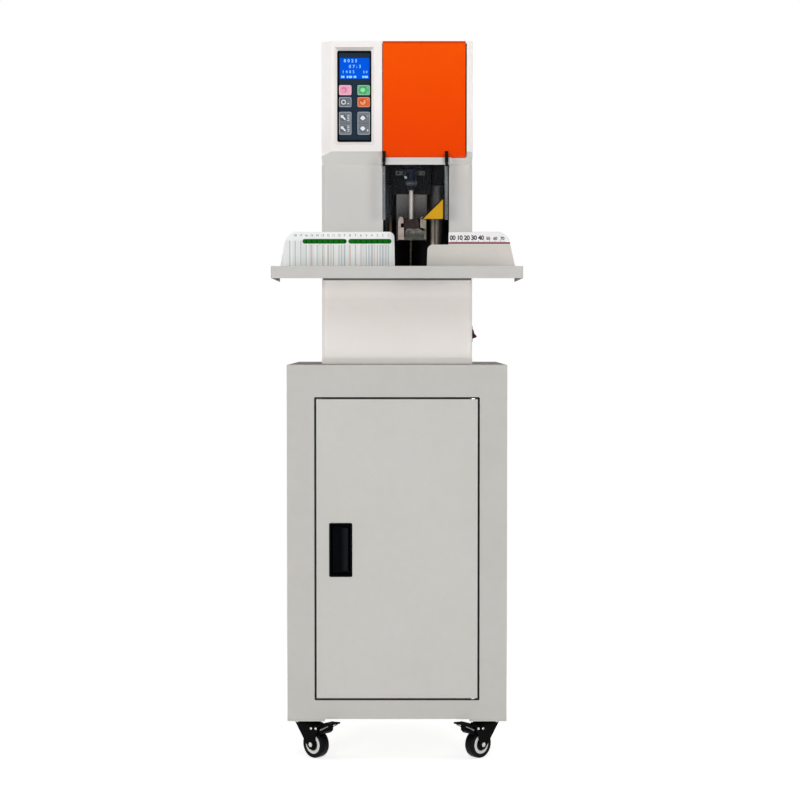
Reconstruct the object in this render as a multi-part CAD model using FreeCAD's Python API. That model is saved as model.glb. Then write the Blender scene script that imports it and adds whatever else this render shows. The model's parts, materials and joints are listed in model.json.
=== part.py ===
import FreeCAD
import Part
import math
import os

# Floor-standing document riveting machine: a drilling and riveting column on a cabinet with casters.
# Millimetres. +Z is up, -Y is the front and +X is the right side seen from the front.
# The origin is on the floor, under the centre of the bounding box.

V = FreeCAD.Vector
X_AXIS = V(1, 0, 0)
Y_AXIS = V(0, 1, 0)
Z_AXIS = V(0, 0, 1)

# ---------------------------------------------------------------- driving dimensions

footprint_depth = 430.0        # front edge of the paper table to the back of the cabinet
running_fit = 0.05             # radial, shaft in hole
slide_clearance = 0.3          # between sliding faces
margin = 1.0                   # how far a cutting tool runs past the face it cuts

# Casters
wheel_diameter = 50.0
wheel_width = 19.0
wheel_edge_radius = 2.5
hub_radius = 8.0
hub_proud = 0.5                # hub end past the wheel's side
wheel_top_gap = 9.5            # wheel to the underside of the fork's bridge
fork_bridge = 2.5
fork_leg = 2.5
fork_leg_gap = 0.5             # hub end to fork leg
race_radius = 21.0
race_height = 4.9
race_gap = 0.4                 # swivel race to the fixed plate
caster_plate = 2.5
caster_plate_side = 48.0
caster_trail = 18.0
caster_inset = 36.5            # swivel axis from the cabinet's outer faces
king_pin_radius = 4.0
king_nut_radius = 6.5
king_nut_height = 4.3
axle_radius = 3.0
axle_head_radius = 5.5
axle_head = 2.5
front_caster_turn = -42.2      # trail direction of the front left caster, degrees from +X
rear_caster_turn = 38.0        # trail direction of the rear left caster
pedal_reach = 67.0             # tip of the brake pedal from the swivel axis
pedal_width = 24.0
pedal_thickness = 3.0
pedal_ear = 2.0
pedal_pivot_x = 22.0
pedal_pivot_drop = 4.5         # pivot below the fork's bridge underside
pedal_pin_radius = 2.0
pedal_rise = 9.8
pedal_bend_rise = 8.0          # steep up to the bend, then nearly level
pedal_lift = 1.0               # tread's root above the pivot
pedal_root = 14.0              # tread starts this far past the axle
pedal_root_length = 14.0       # full-width part of the tread
pedal_ear_half = 3.5
pedal_ear_back = 4.0           # ear behind the pivot
pedal_ear_run = 5.0            # ear over the tread
fork_front_run = 6.0           # bridge past the axle
fork_leg_front = 9.0           # leg past the axle at its knee
fork_leg_foot = 8.0            # leg past the axle at its foot
fork_knee_rise = 20.0
fork_foot_drop = 4.0
fork_toe = (3.0, 9.0)          # front toe of the leg: past the axle, below the axle
fork_heel = (5.0, 8.0)         # rear toe of the leg: before the axle, below the axle
fork_back_inset = 9.0
fork_back_drop = 7.0

# Cabinet
cabinet_width = 390.0
cabinet_depth = 400.0
cabinet_height = 629.8
sheet = 1.5
pad_side = 66.0
pad_height = 4.2
door_opening_width = 291.0
door_opening_lift = 34.7       # opening above the cabinet's bottom edge
door_opening_drop = 57.8       # opening below the cabinet's top edge
door_gap = 2.5
door_depth = 14.0
jamb_depth = 17.5
stop_width = 12.0
door_edge_radius = 1.0
door_pivot_inset = 8.0         # pivot from the door's right edge
door_pivot_depth = 5.5         # pivot behind the door's front face
door_pin_radius = 2.5
door_pin_collar = 5.5
door_pin_tail = 3.0
handle_width = 41.0
handle_height = 96.0
handle_offset_x = 43.2         # handle centre from the door's left edge
handle_offset_z = -1.5         # handle centre from the door's mid height
handle_flange = 1.2
handle_rim = 2.0
handle_wall = 1.5
handle_cup_depth = 12.0
handle_corner = 3.0
catch_height = 60.0
catch_width = 9.0
catch_gap = 0.3

# Column and head casing
base_plate_height = 10.2
column_width = 276.0
column_depth = 250.0
column_back_inset = 20.0       # column's back from the cabinet's back
column_height = 355.0
column_corner_radius = 9.0
column_back_flange = 14.0
head_width = 274.0
head_height = 217.0            # column top to head top
head_overhang = 45.0
bevel_rise = 19.0
head_wall = 2.5
left_chamfer = 18.0
right_chamfer = 5.0
rear_cover_gap = 0.1
vent_count = 9
vent_width = 90.0
vent_height = 4.0
vent_corner = 1.95
vent_pitch = 11.0
vent_base_height = 300.0

# Throat and tool axis
throat_left = -25.8
throat_right = 95.0
throat_below_table = 15.5
drill_x = 25.5
binding_margin = 15.0          # drill axis in front of the fence face
rivet_offset = 46.5            # rivet station to the right of the drill

# Orange front door
door_left_x = -26.0
door_right_x = 123.9
front_door_lift = 9.3          # bottom edge above the column top
front_door_wall = 2.5
front_door_depth = 24.0
front_door_sill = 5.0          # depth of the bottom wall where it passes the tools
front_door_sill_end = 97.0     # the bottom wall is full depth to the right of this
front_door_gap = 1.0
front_door_hinge_gap = 1.8
front_door_corner = 3.0        # hinge side
front_door_free_corner = 1.5
front_pivot_inset = 6.0
front_pivot_depth = 6.5
front_pin_radius = 1.5
front_pin_tail = 1.0           # pin past the arm
front_pin_cover = 1.0          # top wall left over the upper pin
arm_half_width = 3.5
arm_height = 4.0
arm_back_depth = 32.0
arm_thickness = 6.0
arm_clearance = 3.0            # arm to the door's bottom or top wall
frame_room_depth = 20.0        # head's floor cut away behind the column's front face, for the frame
chin_height = 12.8
chin_lean = 2.0
chin_wall = 2.0
chin_setback = 0.5

# Guard
guard_left_x = -25.1
guard_right_x = 90.8
guard_height = 97.8
guard_wall = 2.5
guard_depth = 20.0
guard_standoff = 7.0           # guard front in front of the head's front face
guard_top_drop = 6.0           # guard top edge below the column top
guard_corner_radius = 2.0
ear_radius = 4.2
ear_neck_drop = 6.0            # ear's neck down the guard's side
guard_pivot_rise = 3.0         # pivot above the column top
guard_pivot_standoff = 4.0
guard_pin_radius = 1.5
bracket_width = 8.5
bracket_overlap = 1.7          # bracket past the guard's side
bracket_cap_drop = 6.0
bracket_rise = 19.7            # bracket top above the column top
bracket_plate = 2.0
bracket_knuckle_radius = 5.0
bracket_slot_gap = 0.3

# Console
console_left = -112.7
console_right = -41.6
console_low = 30.5             # pocket's lower edge above the column top
console_drop = 10.7            # pocket's upper edge below the head's top
console_bevel = 6.25
console_pocket_depth = 5.0
console_rim = 5.0
panel_plate = 2.0
panel_flange = 3.0
panel_lip = 4.0
panel_gap = 0.1
key_gap = 0.25
key_proud = 0.9
key_travel = 0.8
key_width = 22.5
key_height = 17.9
key_column_left = -93.6
key_column_right = -60.3
key_row_high = 0.5637          # rows as shares of the pocket's height, from its lower edge
key_row_low = 0.4408
rocker_height = 41.3
rocker_row = 0.2247
rocker_depth = 4.8
rocker_hole_gap = 0.5
trunnion_radius = 0.9
trunnion_length = 1.5
trunnion_end_gap = 0.2
key_flange = 1.0
key_flange_lip = 1.2
display_left = -103.5
display_right = -49.9
display_low = 0.6780
display_high = 0.8936
display_lip = 3.0
display_recess = 0.4
board_thickness = 1.6
board_standoff = 8.0           # console panel's rear face to the board
switch_body = 6.0
switch_tip_gap = 0.1
rocker_switch_spread = 12.4

# Power switch and inlet
switch_height = 29.4
switch_width = 14.0
switch_flange = 2.0
switch_rim = 2.0
switch_body_depth = 20.0
switch_above_base = 44.8
switch_y = -10.0
switch_pivot_depth = 2.0
switch_wall = 1.0
switch_well_depth = 10.0
switch_rocker_back = 3.0       # rocker behind the pivot
switch_rocker_rise = 9.0       # pressed-out end past the pivot
switch_rocker_low = 5.0        # pressed-in end past the pivot
switch_rocker_land = 1.0
switch_rocker_knee = 4.0
switch_rocker_foot = 9.0
switch_rocker_gap = 0.4
switch_pin_radius = 1.2
switch_pin_length = 0.8
inlet_x = 82.0
inlet_above_base = 40.0
inlet_width = 27.0
inlet_height = 20.0
inlet_depth = 20.0
inlet_wall = 1.5
inlet_flange_width = 50.0
inlet_flange_height = 24.0
inlet_flange = 2.0
inlet_pin_length = 13.0
inlet_pin_spacing = 7.0
inlet_corner = 5.0
inlet_flange_corner = 4.0
inlet_pin_half = 1.0
inlet_pin_low = 1.0            # outer pins above the inlet's centre
inlet_pin_high = 4.5

# Paper table and fences
table_width = 441.2
table_front_depth = 160.0      # front edge to the column's front face
table_wing_depth = 60.0        # wings back along the column's sides
table_above_base = 163.2
table_sheet = 2.0
table_flange = 21.3
table_inner_flange = 13.0       # collar round the column and the wings' back edges
table_column_gap = 0.3
table_corner_radius = 3.0
fence_sheet = 3.0
fence_gap_to_column = 5.0
fence_foot_height = 2.0
left_fence_height = 68.1
left_fence_outer = -214.7
left_fence_inner = -4.2
left_fence_outer_top = -205.0
left_fence_inner_top = -5.2
right_fence_inner = 54.3
right_fence_outer = 217.0
right_fence_outer_top = 202.0
right_fence_low = 44.7
right_fence_step_x = 94.0
right_fence_inner_top = 55.8
fence_corner_radius = 14.0
fence_low_corner_radius = 10.0
fence_step_radius = 2.0

# Frame and mechanism
frame_left_x = -50.0
frame_right_x = 115.0
frame_plate = 6.0
frame_front_setback = 5.0      # side plates behind the column's front face
frame_depth = 130.0
anvil_thickness = 24.0
anvil_drop = 4.5               # anvil top below the table top
anvil_nose_left = -8.0
anvil_nose_right = 94.0
anvil_nose_reach = 43.0
anvil_nose_thickness = 9.5
frame_foot_margin = 40.0
top_plate_thickness = 10.0
top_nose_margin = 3.0          # nose past the actuator on each side
top_plate_height = 514.0       # underside above the base plate
insert_radius = 8.0
insert_hole_gap = 0.4
insert_seat = 6.0
insert_drop = 0.2              # insert's top below the table's face
die_hollow = 2.0
die_hollow_radius = 3.0
column_rod_radius = 13.85
column_rod_spread = 45.3       # each guide column from the drill axis
column_rod_back = 25.0         # guide columns behind the column's front face
bushing_wall = 5.5
carriage_bottom = 153.0        # bushings' lower face above the table top
carriage_top = 228.0
carriage_web = 12.0
block_left = -10.0
block_right = 61.0
block_depth = 18.0
block_bottom = 136.8
bridge_inset = 20.0            # bridge to the web, inside the block's ends
nut_back = 60.0                # lead screw behind the guide columns
nut_radius = 16.0
nut_arm_half = 12.8
screw_radius = 6.0
screw_end_radius = 4.0
screw_nut_clearance = 0.1
screw_pass_gap = 2.0           # screw to the anvil's hole
screw_top_gap = 1.0            # screw's full diameter to the top plate
housing_radius = 16.0
housing_bottom = 185.0
chuck_radius = 11.0
chuck_nose_radius = 6.0
chuck_nose_height = 8.0
chuck_bottom = 144.8
chuck_height = 38.0
spindle_radius = 8.0
spindle_top_drop = 4.0         # spindle's top inside the gear case
drill_radius = 3.75
drill_grip = 14.0
drill_bore_radius = 2.4
drill_point = 3.0
drill_edge = 0.2               # flat left at the cutting edge
drill_tip_inset = 0.3          # tip above the foot's underside
foot_left = 1.7
foot_right = 52.6
foot_front_reach = 16.0
foot_bottom_gap = 51.4
foot_base = 5.4
foot_height = 42.7
foot_cheek = 4.5
foot_cheek_front = 14.0
foot_cheek_back = 15.0
foot_cut = 6.0
foot_hole_radius = 5.5
foot_corner_radius = 5.0
foot_screw_radius = 2.6
foot_screw_rise = 23.5
slide_plate_left = -1.0
slide_plate_right = 54.0
slide_plate_thickness = 6.0
slide_plate_height = 146.0
slide_plate_lift = 0.5         # plate's lower edge above the foot's
motor_radius = 27.0
motor_back = 15.0              # motor behind the guide columns
motor_height = 92.0
gear_case_height = 20.0
gear_case_half_width = 22.0
gear_case_corner = 6.0
lift_motor_radius = 29.0
lift_motor_height = 98.0
lift_motor_drop = 2.0          # motor's top below the anvil
lift_post_radius = 3.5
lift_post_inset = 6.0
ram_radius = 6.0
ram_tip_radius = 4.0
ram_tip_length = 6.0
ram_collar_radius = 9.0
ram_collar_height = 12.0
ram_bottom = 188.0
ram_length = 196.0
actuator_half_width = 15.0
actuator_height = 86.0
actuator_corner = 4.0

# ---------------------------------------------------------------- worked-out planes and places

wheel_radius = wheel_diameter / 2
bridge_bottom_z = wheel_diameter + wheel_top_gap
race_top_z = bridge_bottom_z + fork_bridge + race_height
caster_height = race_top_z + race_gap + caster_plate
cabinet_bottom_z = caster_height + pad_height
cabinet_top_z = cabinet_bottom_z + cabinet_height
cabinet_back_y = footprint_depth / 2
cabinet_front_y = cabinet_back_y - cabinet_depth
base_top_z = cabinet_top_z + base_plate_height
column_top_z = base_top_z + column_height
column_back_y = cabinet_back_y - column_back_inset
column_front_y = column_back_y - column_depth
head_front_y = column_front_y - head_overhang
head_top_z = column_top_z + head_height
table_front_y = column_front_y - table_front_depth
table_top_z = base_top_z + table_above_base
fence_back_y = column_front_y - fence_gap_to_column
fence_face_y = fence_back_y - fence_sheet
drill_y = fence_face_y - binding_margin
rivet_x = drill_x + rivet_offset
opening_z = (cabinet_bottom_z + door_opening_lift, cabinet_top_z - door_opening_drop)
door_bottom_z = opening_z[0] + door_gap
door_top_z = opening_z[1] - door_gap
door_half_width = door_opening_width / 2 - door_gap
door_pivot = V(door_half_width - door_pivot_inset, cabinet_front_y + door_pivot_depth, 0)
front_door_bottom_z = column_top_z + front_door_lift
front_pivot = V(door_right_x - front_pivot_inset, head_front_y + front_pivot_depth, 0)
guard_front_y = head_front_y - guard_standoff
guard_top_z = column_top_z - guard_top_drop
guard_pivot_y = head_front_y - guard_pivot_standoff
guard_pivot_z = column_top_z + guard_pivot_rise
console_z = (column_top_z + console_low, head_top_z - console_drop)
panel_front_y = head_front_y + console_pocket_depth
panel_back_y = panel_front_y + panel_plate + panel_flange
trunnion_y = panel_back_y - panel_flange / 2
anvil_top_z = table_top_z - anvil_drop
anvil_bottom_z = anvil_top_z - anvil_thickness
frame_front_y = column_front_y + frame_front_setback
frame_back_y = frame_front_y + frame_depth
top_plate_z = base_top_z + top_plate_height
rod_y = column_front_y + column_rod_back
nut_y = rod_y + nut_back
block_back_y = rod_y - column_rod_radius - slide_clearance
block_front_y = block_back_y - block_depth
slide_plate_back_y = block_back_y - (block_depth - slide_plate_thickness) / 2
slide_plate_front_y = slide_plate_back_y - slide_plate_thickness


# ---------------------------------------------------------------- shared shapes

def box(x, y, z):
    """Box between (low, high) pairs along X, Y and Z."""
    return Part.makeBox(x[1] - x[0], y[1] - y[0], z[1] - z[0], V(x[0], y[0], z[0]))


def rod(radius, start, end):
    """Cylinder from one point to another."""
    run = end - start
    return Part.makeCylinder(radius, run.Length, start, run)


def upright(radius, x, y, z):
    """Vertical cylinder at (x, y) over a (low, high) pair of heights."""
    return rod(radius, V(x, y, z[0]), V(x, y, z[1]))


def prism(points, run):
    """Polygon through the points, pushed along the run."""
    return Part.Face(Part.makePolygon(points + [points[0]])).extrude(run)


def join(*solids):
    """One solid from touching or overlapping ones."""
    return solids[0].multiFuse(list(solids[1:])).removeSplitter()


def edges_along(solid, axis, inside=None):
    """Straight edges parallel to an axis, those whose middle lies in a box if one is given."""
    found = []
    for edge in solid.Edges:
        if not isinstance(edge.Curve, Part.Line):
            continue
        if abs(abs(edge.Curve.Direction.dot(axis)) - 1) > 1e-6:
            continue
        if inside is None or inside.isInside(edge.CenterOfMass):
            found.append(edge)
    return found


def zone(x, y, z):
    """Region for picking edges."""
    return FreeCAD.BoundBox(x[0], y[0], z[0], x[1], y[1], z[1])


def rounded_box(x, y, z, radius, axis=Z_AXIS):
    """Box with its four edges along one axis rounded."""
    solid = box(x, y, z)
    return solid.makeFillet(radius, edges_along(solid, axis))


def turned(solid, angle, x, y):
    """Solid made around the Z axis, turned and moved to its place."""
    placed = solid.copy()
    placed.rotate(V(0, 0, 0), Z_AXIS, angle)
    placed.translate(V(x, y, 0))
    return placed


parts = {}

# ---------------------------------------------------------------- casters

leg_inner = wheel_width / 2 + hub_proud + fork_leg_gap
leg_outer = leg_inner + fork_leg
swivel_x = cabinet_width / 2 - caster_inset
swivel_front_y = cabinet_front_y + caster_inset
swivel_back_y = cabinet_back_y - caster_inset
caster_places = {
    "fl": (-swivel_x, swivel_front_y, front_caster_turn),
    "fr": (swivel_x, swivel_front_y, 180 - front_caster_turn),
    "rl": (-swivel_x, swivel_back_y, rear_caster_turn),
    "rr": (swivel_x, swivel_back_y, 180 - rear_caster_turn),
}


def caster_top_plate():
    """Fixed square plate with the king pin and its nut."""
    plate_z = caster_height - caster_plate
    half = caster_plate_side / 2
    plate = box((-half, half), (-half, half), (plate_z, caster_height))
    nut_top_z = bridge_bottom_z - slide_clearance
    pin = upright(king_pin_radius, 0, 0, (nut_top_z - king_nut_height, plate_z))
    nut = upright(king_nut_radius, 0, 0, (nut_top_z - king_nut_height, nut_top_z))
    return join(plate, pin, nut)


def caster_fork():
    """Pressed fork: race, bridge and two sloping legs, made with the trail along +X."""
    race = upright(race_radius, 0, 0, (race_top_z - race_height, race_top_z))
    fork_front = caster_trail + fork_front_run
    fork_back = -race_radius
    bridge = box((fork_back, fork_front), (-leg_outer, leg_outer),
                 (bridge_bottom_z, bridge_bottom_z + fork_bridge))
    top_z = bridge_bottom_z + fork_bridge
    eye_z = wheel_radius
    outline = [
        V(fork_back, 0, top_z),
        V(fork_front, 0, top_z),
        V(caster_trail + fork_leg_front, 0, eye_z + fork_knee_rise),
        V(caster_trail + fork_leg_foot, 0, eye_z - fork_foot_drop),
        V(caster_trail + fork_toe[0], 0, eye_z - fork_toe[1]),
        V(caster_trail - fork_heel[0], 0, eye_z - fork_heel[1]),
        V(fork_back_inset - race_radius, 0, bridge_bottom_z - fork_back_drop),
    ]
    legs = []
    for inner in (leg_inner, -leg_outer):
        leg = prism(outline, V(0, fork_leg, 0))
        leg.translate(V(0, inner, 0))
        legs.append(leg)
    fork = join(race, bridge, *legs)
    king_hole = upright(king_pin_radius + running_fit, 0, 0, (bridge_bottom_z - margin,
                                                                    race_top_z + margin))
    reach = leg_outer + margin
    axle_hole = rod(axle_radius + running_fit, V(caster_trail, -reach, eye_z), V(caster_trail, reach, eye_z))
    pivot_z = bridge_bottom_z - pedal_pivot_drop
    pedal_hole = rod(pedal_pin_radius + running_fit, V(pedal_pivot_x, -reach, pivot_z),
                     V(pedal_pivot_x, reach, pivot_z))
    return fork.cut([king_hole, axle_hole, pedal_hole])


def caster_wheel():
    """Tyred wheel with a hub that stands proud on each side."""
    centre = V(caster_trail, 0, wheel_radius)
    half = wheel_width / 2
    tread = rod(wheel_radius, centre - Y_AXIS * half, centre + Y_AXIS * half)
    tread = tread.makeFillet(wheel_edge_radius, [e for e in tread.Edges if isinstance(e.Curve, Part.Circle)])
    hub_half = half + hub_proud
    hub = rod(hub_radius, centre - Y_AXIS * hub_half, centre + Y_AXIS * hub_half)
    reach = hub_half + margin
    bore = rod(axle_radius + running_fit, centre - Y_AXIS * reach, centre + Y_AXIS * reach)
    return join(tread, hub).cut(bore)


def caster_axle():
    """Axle bolt with a head outside one leg and a nut outside the other."""
    centre = V(caster_trail, 0, wheel_radius)
    shank = rod(axle_radius, centre - Y_AXIS * leg_outer, centre + Y_AXIS * leg_outer)
    head = rod(axle_head_radius, centre - Y_AXIS * (leg_outer + axle_head), centre - Y_AXIS * leg_outer)
    nut = rod(axle_head_radius, centre + Y_AXIS * leg_outer, centre + Y_AXIS * (leg_outer + axle_head))
    return join(shank, head, nut)


def brake_pedal():
    """Rising tread plate on two ears outside the fork, on stub pins in the fork's legs."""
    pivot_x = pedal_pivot_x
    pivot_z = bridge_bottom_z - pedal_pivot_drop
    ear_inner = leg_outer + running_fit * 2
    ear_outer = ear_inner + pedal_ear
    low_z = pivot_z + pedal_lift
    plate_start = caster_trail + pedal_root
    bend_x = plate_start + pedal_root_length
    bend_z = low_z + pedal_bend_rise
    outline = [
        V(plate_start, 0, low_z),
        V(bend_x, 0, bend_z),
        V(pedal_reach, 0, low_z + pedal_rise),
        V(pedal_reach, 0, low_z + pedal_rise + pedal_thickness),
        V(bend_x, 0, bend_z + pedal_thickness),
        V(plate_start, 0, low_z + pedal_thickness),
    ]
    plate = prism(outline, V(0, 2 * ear_outer, 0))
    plate.translate(V(0, -ear_outer, 0))
    tip = box((bend_x, pedal_reach + margin), (pedal_width / 2, ear_outer + margin),
              (0, caster_height))
    tips = [tip, tip.mirror(V(0, 0, 0), Y_AXIS)]
    plate = plate.cut(tips)
    ears = []
    for side in (1, -1):
        ear_outline = [
            V(pivot_x - pedal_ear_back, 0, pivot_z - pedal_ear_half),
            V(plate_start + pedal_ear_run, 0, low_z),
            V(plate_start + pedal_ear_run, 0, low_z + pedal_thickness),
            V(pivot_x - pedal_ear_back, 0, pivot_z + pedal_ear_half),
        ]
        ear = prism(ear_outline, V(0, pedal_ear, 0))
        ear.translate(V(0, ear_inner if side > 0 else -ear_outer, 0))
        pin = rod(pedal_pin_radius, V(pivot_x, side * leg_inner, pivot_z),
                  V(pivot_x, side * ear_outer, pivot_z))
        ears += [ear, pin]
    return join(plate, *ears)


def make_casters():
    plates = [turned(caster_top_plate(), 0, x, y) for x, y, angle in caster_places.values()]
    parts["caster_plates"] = plates
    for place, (x, y, angle) in caster_places.items():
        parts["caster_fork_" + place] = turned(caster_fork(), angle, x, y)
        parts["caster_wheel_" + place] = turned(caster_wheel(), angle, x, y)
        parts["caster_axle_" + place] = turned(caster_axle(), angle, x, y)
        if place[0] == "f":
            parts["brake_pedal_" + place] = turned(brake_pedal(), angle, x, y)


# ---------------------------------------------------------------- cabinet

half_cabinet = cabinet_width / 2
half_opening = door_opening_width / 2


def door_pin_holes():
    """Holes for both hinge pins, through the jamb and the door's edge returns."""
    radius = door_pin_radius + running_fit
    low = (opening_z[0] - sheet - margin, door_bottom_z + sheet + margin)
    high = (door_top_z - sheet - margin, opening_z[1] + sheet + margin)
    return [upright(radius, door_pivot.x, door_pivot.y, low), upright(radius, door_pivot.x, door_pivot.y, high)]


def cabinet_shell():
    """Sides, top and front frame in one folded and welded sheet piece, open below and behind."""
    back_y = cabinet_back_y - sheet
    outer = box((-half_cabinet, half_cabinet), (cabinet_front_y, back_y), (cabinet_bottom_z, cabinet_top_z))
    inner = box((-half_cabinet + sheet, half_cabinet - sheet), (cabinet_front_y + sheet, back_y + margin),
                (cabinet_bottom_z - margin, cabinet_top_z - sheet))
    opening = box((-half_opening, half_opening), (cabinet_front_y - margin, cabinet_front_y + sheet + margin),
                  opening_z)
    jamb_y = (cabinet_front_y, cabinet_front_y + jamb_depth)
    jamb = box((-half_opening - sheet, half_opening + sheet), jamb_y,
               (opening_z[0] - sheet, opening_z[1] + sheet))
    jamb_hole = box((-half_opening, half_opening), (jamb_y[0] - margin, jamb_y[1] + margin), opening_z)
    stop = box((-half_opening - sheet, -half_opening + stop_width), (jamb_y[1] - sheet, jamb_y[1]), opening_z)
    shell = join(outer.cut([inner, opening]), jamb.cut(jamb_hole), stop)
    return shell.cut(door_pin_holes())


def cabinet_floor():
    """Floor sheet between the walls, with a corner pad over each caster."""
    floor = box((-half_cabinet + sheet, half_cabinet - sheet),
                (cabinet_front_y + sheet, cabinet_back_y - sheet),
                (cabinet_bottom_z, cabinet_bottom_z + sheet))
    pads = []
    for x in (-half_cabinet, half_cabinet - pad_side):
        for y in (cabinet_front_y, cabinet_back_y - pad_side):
            pads.append(box((x, x + pad_side), (y, y + pad_side), (caster_height, cabinet_bottom_z)))
    return join(floor, *pads)


def cabinet_back():
    """Flat back panel over the whole rear opening."""
    return box((-half_cabinet, half_cabinet), (cabinet_back_y - sheet, cabinet_back_y),
               (cabinet_bottom_z, cabinet_top_z))


def handle_centre():
    """Centre of the door handle on the door's front face."""
    return V(-door_half_width + handle_offset_x, cabinet_front_y,
             (door_bottom_z + door_top_z) / 2 + handle_offset_z)


def cabinet_door():
    """Door tray with folded edges, a handle hole and hinge pin holes."""
    outer = box((-door_half_width, door_half_width), (cabinet_front_y, cabinet_front_y + door_depth),
                (door_bottom_z, door_top_z))
    front_zone = zone((-half_cabinet, half_cabinet), (cabinet_front_y - margin, cabinet_front_y + margin),
                      (0, cabinet_top_z))
    front_edges = edges_along(outer, X_AXIS, front_zone) + edges_along(outer, Z_AXIS, front_zone)
    outer = outer.makeFillet(door_edge_radius, front_edges)
    inner = box((-door_half_width + sheet, door_half_width - sheet),
                (cabinet_front_y + sheet, cabinet_front_y + door_depth + margin),
                (door_bottom_z + sheet, door_top_z - sheet))
    centre = handle_centre()
    half_w = handle_width / 2 - handle_rim + slide_clearance
    half_h = handle_height / 2 - handle_rim + slide_clearance
    hole = box((centre.x - half_w, centre.x + half_w), (centre.y - margin, centre.y + sheet + margin),
               (centre.z - half_h, centre.z + half_h))
    return outer.cut([inner, hole] + door_pin_holes())


def door_handle():
    """Recessed cup pull with a thin flange on the door's face."""
    centre = handle_centre()
    half_w = handle_width / 2
    half_h = handle_height / 2
    flange = rounded_box((centre.x - half_w, centre.x + half_w), (centre.y - handle_flange, centre.y),
                         (centre.z - half_h, centre.z + half_h), handle_corner, Y_AXIS)
    cup_w = half_w - handle_rim
    cup_h = half_h - handle_rim
    cup = box((centre.x - cup_w, centre.x + cup_w), (centre.y, centre.y + handle_cup_depth),
              (centre.z - cup_h, centre.z + cup_h))
    hollow = box((centre.x - cup_w + handle_wall, centre.x + cup_w - handle_wall),
                 (centre.y - handle_flange - margin, centre.y + handle_cup_depth - handle_wall),
                 (centre.z - cup_h + handle_wall, centre.z + cup_h - handle_wall))
    return join(flange, cup).cut(hollow)


def door_hinge_pins():
    """Two pins with collars that fill the gap above and below the door."""
    pins = []
    through = sheet + door_pin_tail
    spans = ((opening_z[0] - through, opening_z[0], door_bottom_z, door_bottom_z + through),
             (opening_z[1] + through, opening_z[1], door_top_z, door_top_z - through))
    for outer_z, frame_z, leaf_z, inner_z in spans:
        pin = upright(door_pin_radius, door_pivot.x, door_pivot.y, sorted((outer_z, inner_z)))
        toward = math.copysign(running_fit * 2, frame_z - leaf_z)
        collar = upright(door_pin_collar, door_pivot.x, door_pivot.y, sorted((frame_z, leaf_z + toward)))
        proud = 2 * door_pin_collar
        collar = collar.cut(box((door_pivot.x - proud, door_pivot.x + proud),
                                (cabinet_front_y - proud, cabinet_front_y), (0, cabinet_top_z)))
        pins.append(join(pin, collar))
    return pins


def door_catch():
    """Magnetic strip on the door stop."""
    mid_z = (door_bottom_z + door_top_z) / 2
    stop_front_y = cabinet_front_y + jamb_depth - sheet
    left_x = -half_opening + (stop_width - catch_width) / 2
    return box((left_x, left_x + catch_width), (cabinet_front_y + door_depth + catch_gap, stop_front_y),
               (mid_z - catch_height / 2, mid_z + catch_height / 2))


def make_cabinet():
    parts["cabinet_shell"] = cabinet_shell()
    parts["cabinet_floor"] = cabinet_floor()
    parts["cabinet_back"] = cabinet_back()
    parts["cabinet_door"] = cabinet_door()
    parts["door_handle"] = door_handle()
    parts["door_hinge_pins"] = door_hinge_pins()
    parts["door_catch"] = door_catch()


# ---------------------------------------------------------------- column casing

half_column = column_width / 2
half_head = head_width / 2
bevel_slope = bevel_rise / head_overhang


def machine_base():
    """Thick plate between the cabinet's top and the column."""
    return box((-half_column, half_column), (column_front_y, column_back_y), (cabinet_top_z, base_top_z))


def switch_cutout(inner_x):
    """Hole for the power switch's body, through the column's right wall."""
    low_z = base_top_z + switch_above_base - switch_height / 2 + switch_rim - running_fit
    high_z = base_top_z + switch_above_base + switch_height / 2 - switch_rim + running_fit
    half = switch_width / 2 - switch_rim + running_fit
    return box((inner_x - margin, half_column + margin), (switch_y - half, switch_y + half), (low_z, high_z))


def column_casing():
    """Sheet wrap round the front and both sides, with the throat cut in its front."""
    outer = box((-half_column, half_column), (column_front_y, column_back_y), (base_top_z, column_top_z))
    front_zone = zone((-half_column - margin, half_column + margin),
                      (column_front_y - margin, column_front_y + margin),
                      (base_top_z, column_top_z))
    outer = outer.makeFillet(column_corner_radius, edges_along(outer, Z_AXIS, front_zone))
    inner = box((-half_column + sheet, half_column - sheet), (column_front_y + sheet, column_back_y + margin),
                (base_top_z - margin, column_top_z + margin))
    inner_zone = zone((-half_column, half_column), (column_front_y, column_front_y + 2 * sheet),
                      (0, head_top_z))
    inner = inner.makeFillet(column_corner_radius - sheet, edges_along(inner, Z_AXIS, inner_zone))
    throat_z = (table_top_z - throat_below_table, column_top_z + margin)
    throat = box((throat_left, throat_right), (column_front_y - margin, column_front_y + sheet + margin),
                 throat_z)
    casing = outer.cut([inner, throat])
    pieces = []
    for low_x in (throat_left - sheet, throat_right):
        pieces.append(box((low_x, low_x + sheet), (column_front_y, column_front_y + frame_front_setback),
                          (throat_z[0], column_top_z)))
    flange_y = (column_back_y - 2 * sheet, column_back_y - sheet)
    pieces.append(box((-half_column + sheet, -half_column + sheet + column_back_flange), flange_y,
                      (base_top_z, column_top_z)))
    pieces.append(box((half_column - sheet - column_back_flange, half_column - sheet), flange_y,
                      (base_top_z, column_top_z)))
    return join(casing, *pieces).cut(switch_cutout(half_column - sheet))


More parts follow.
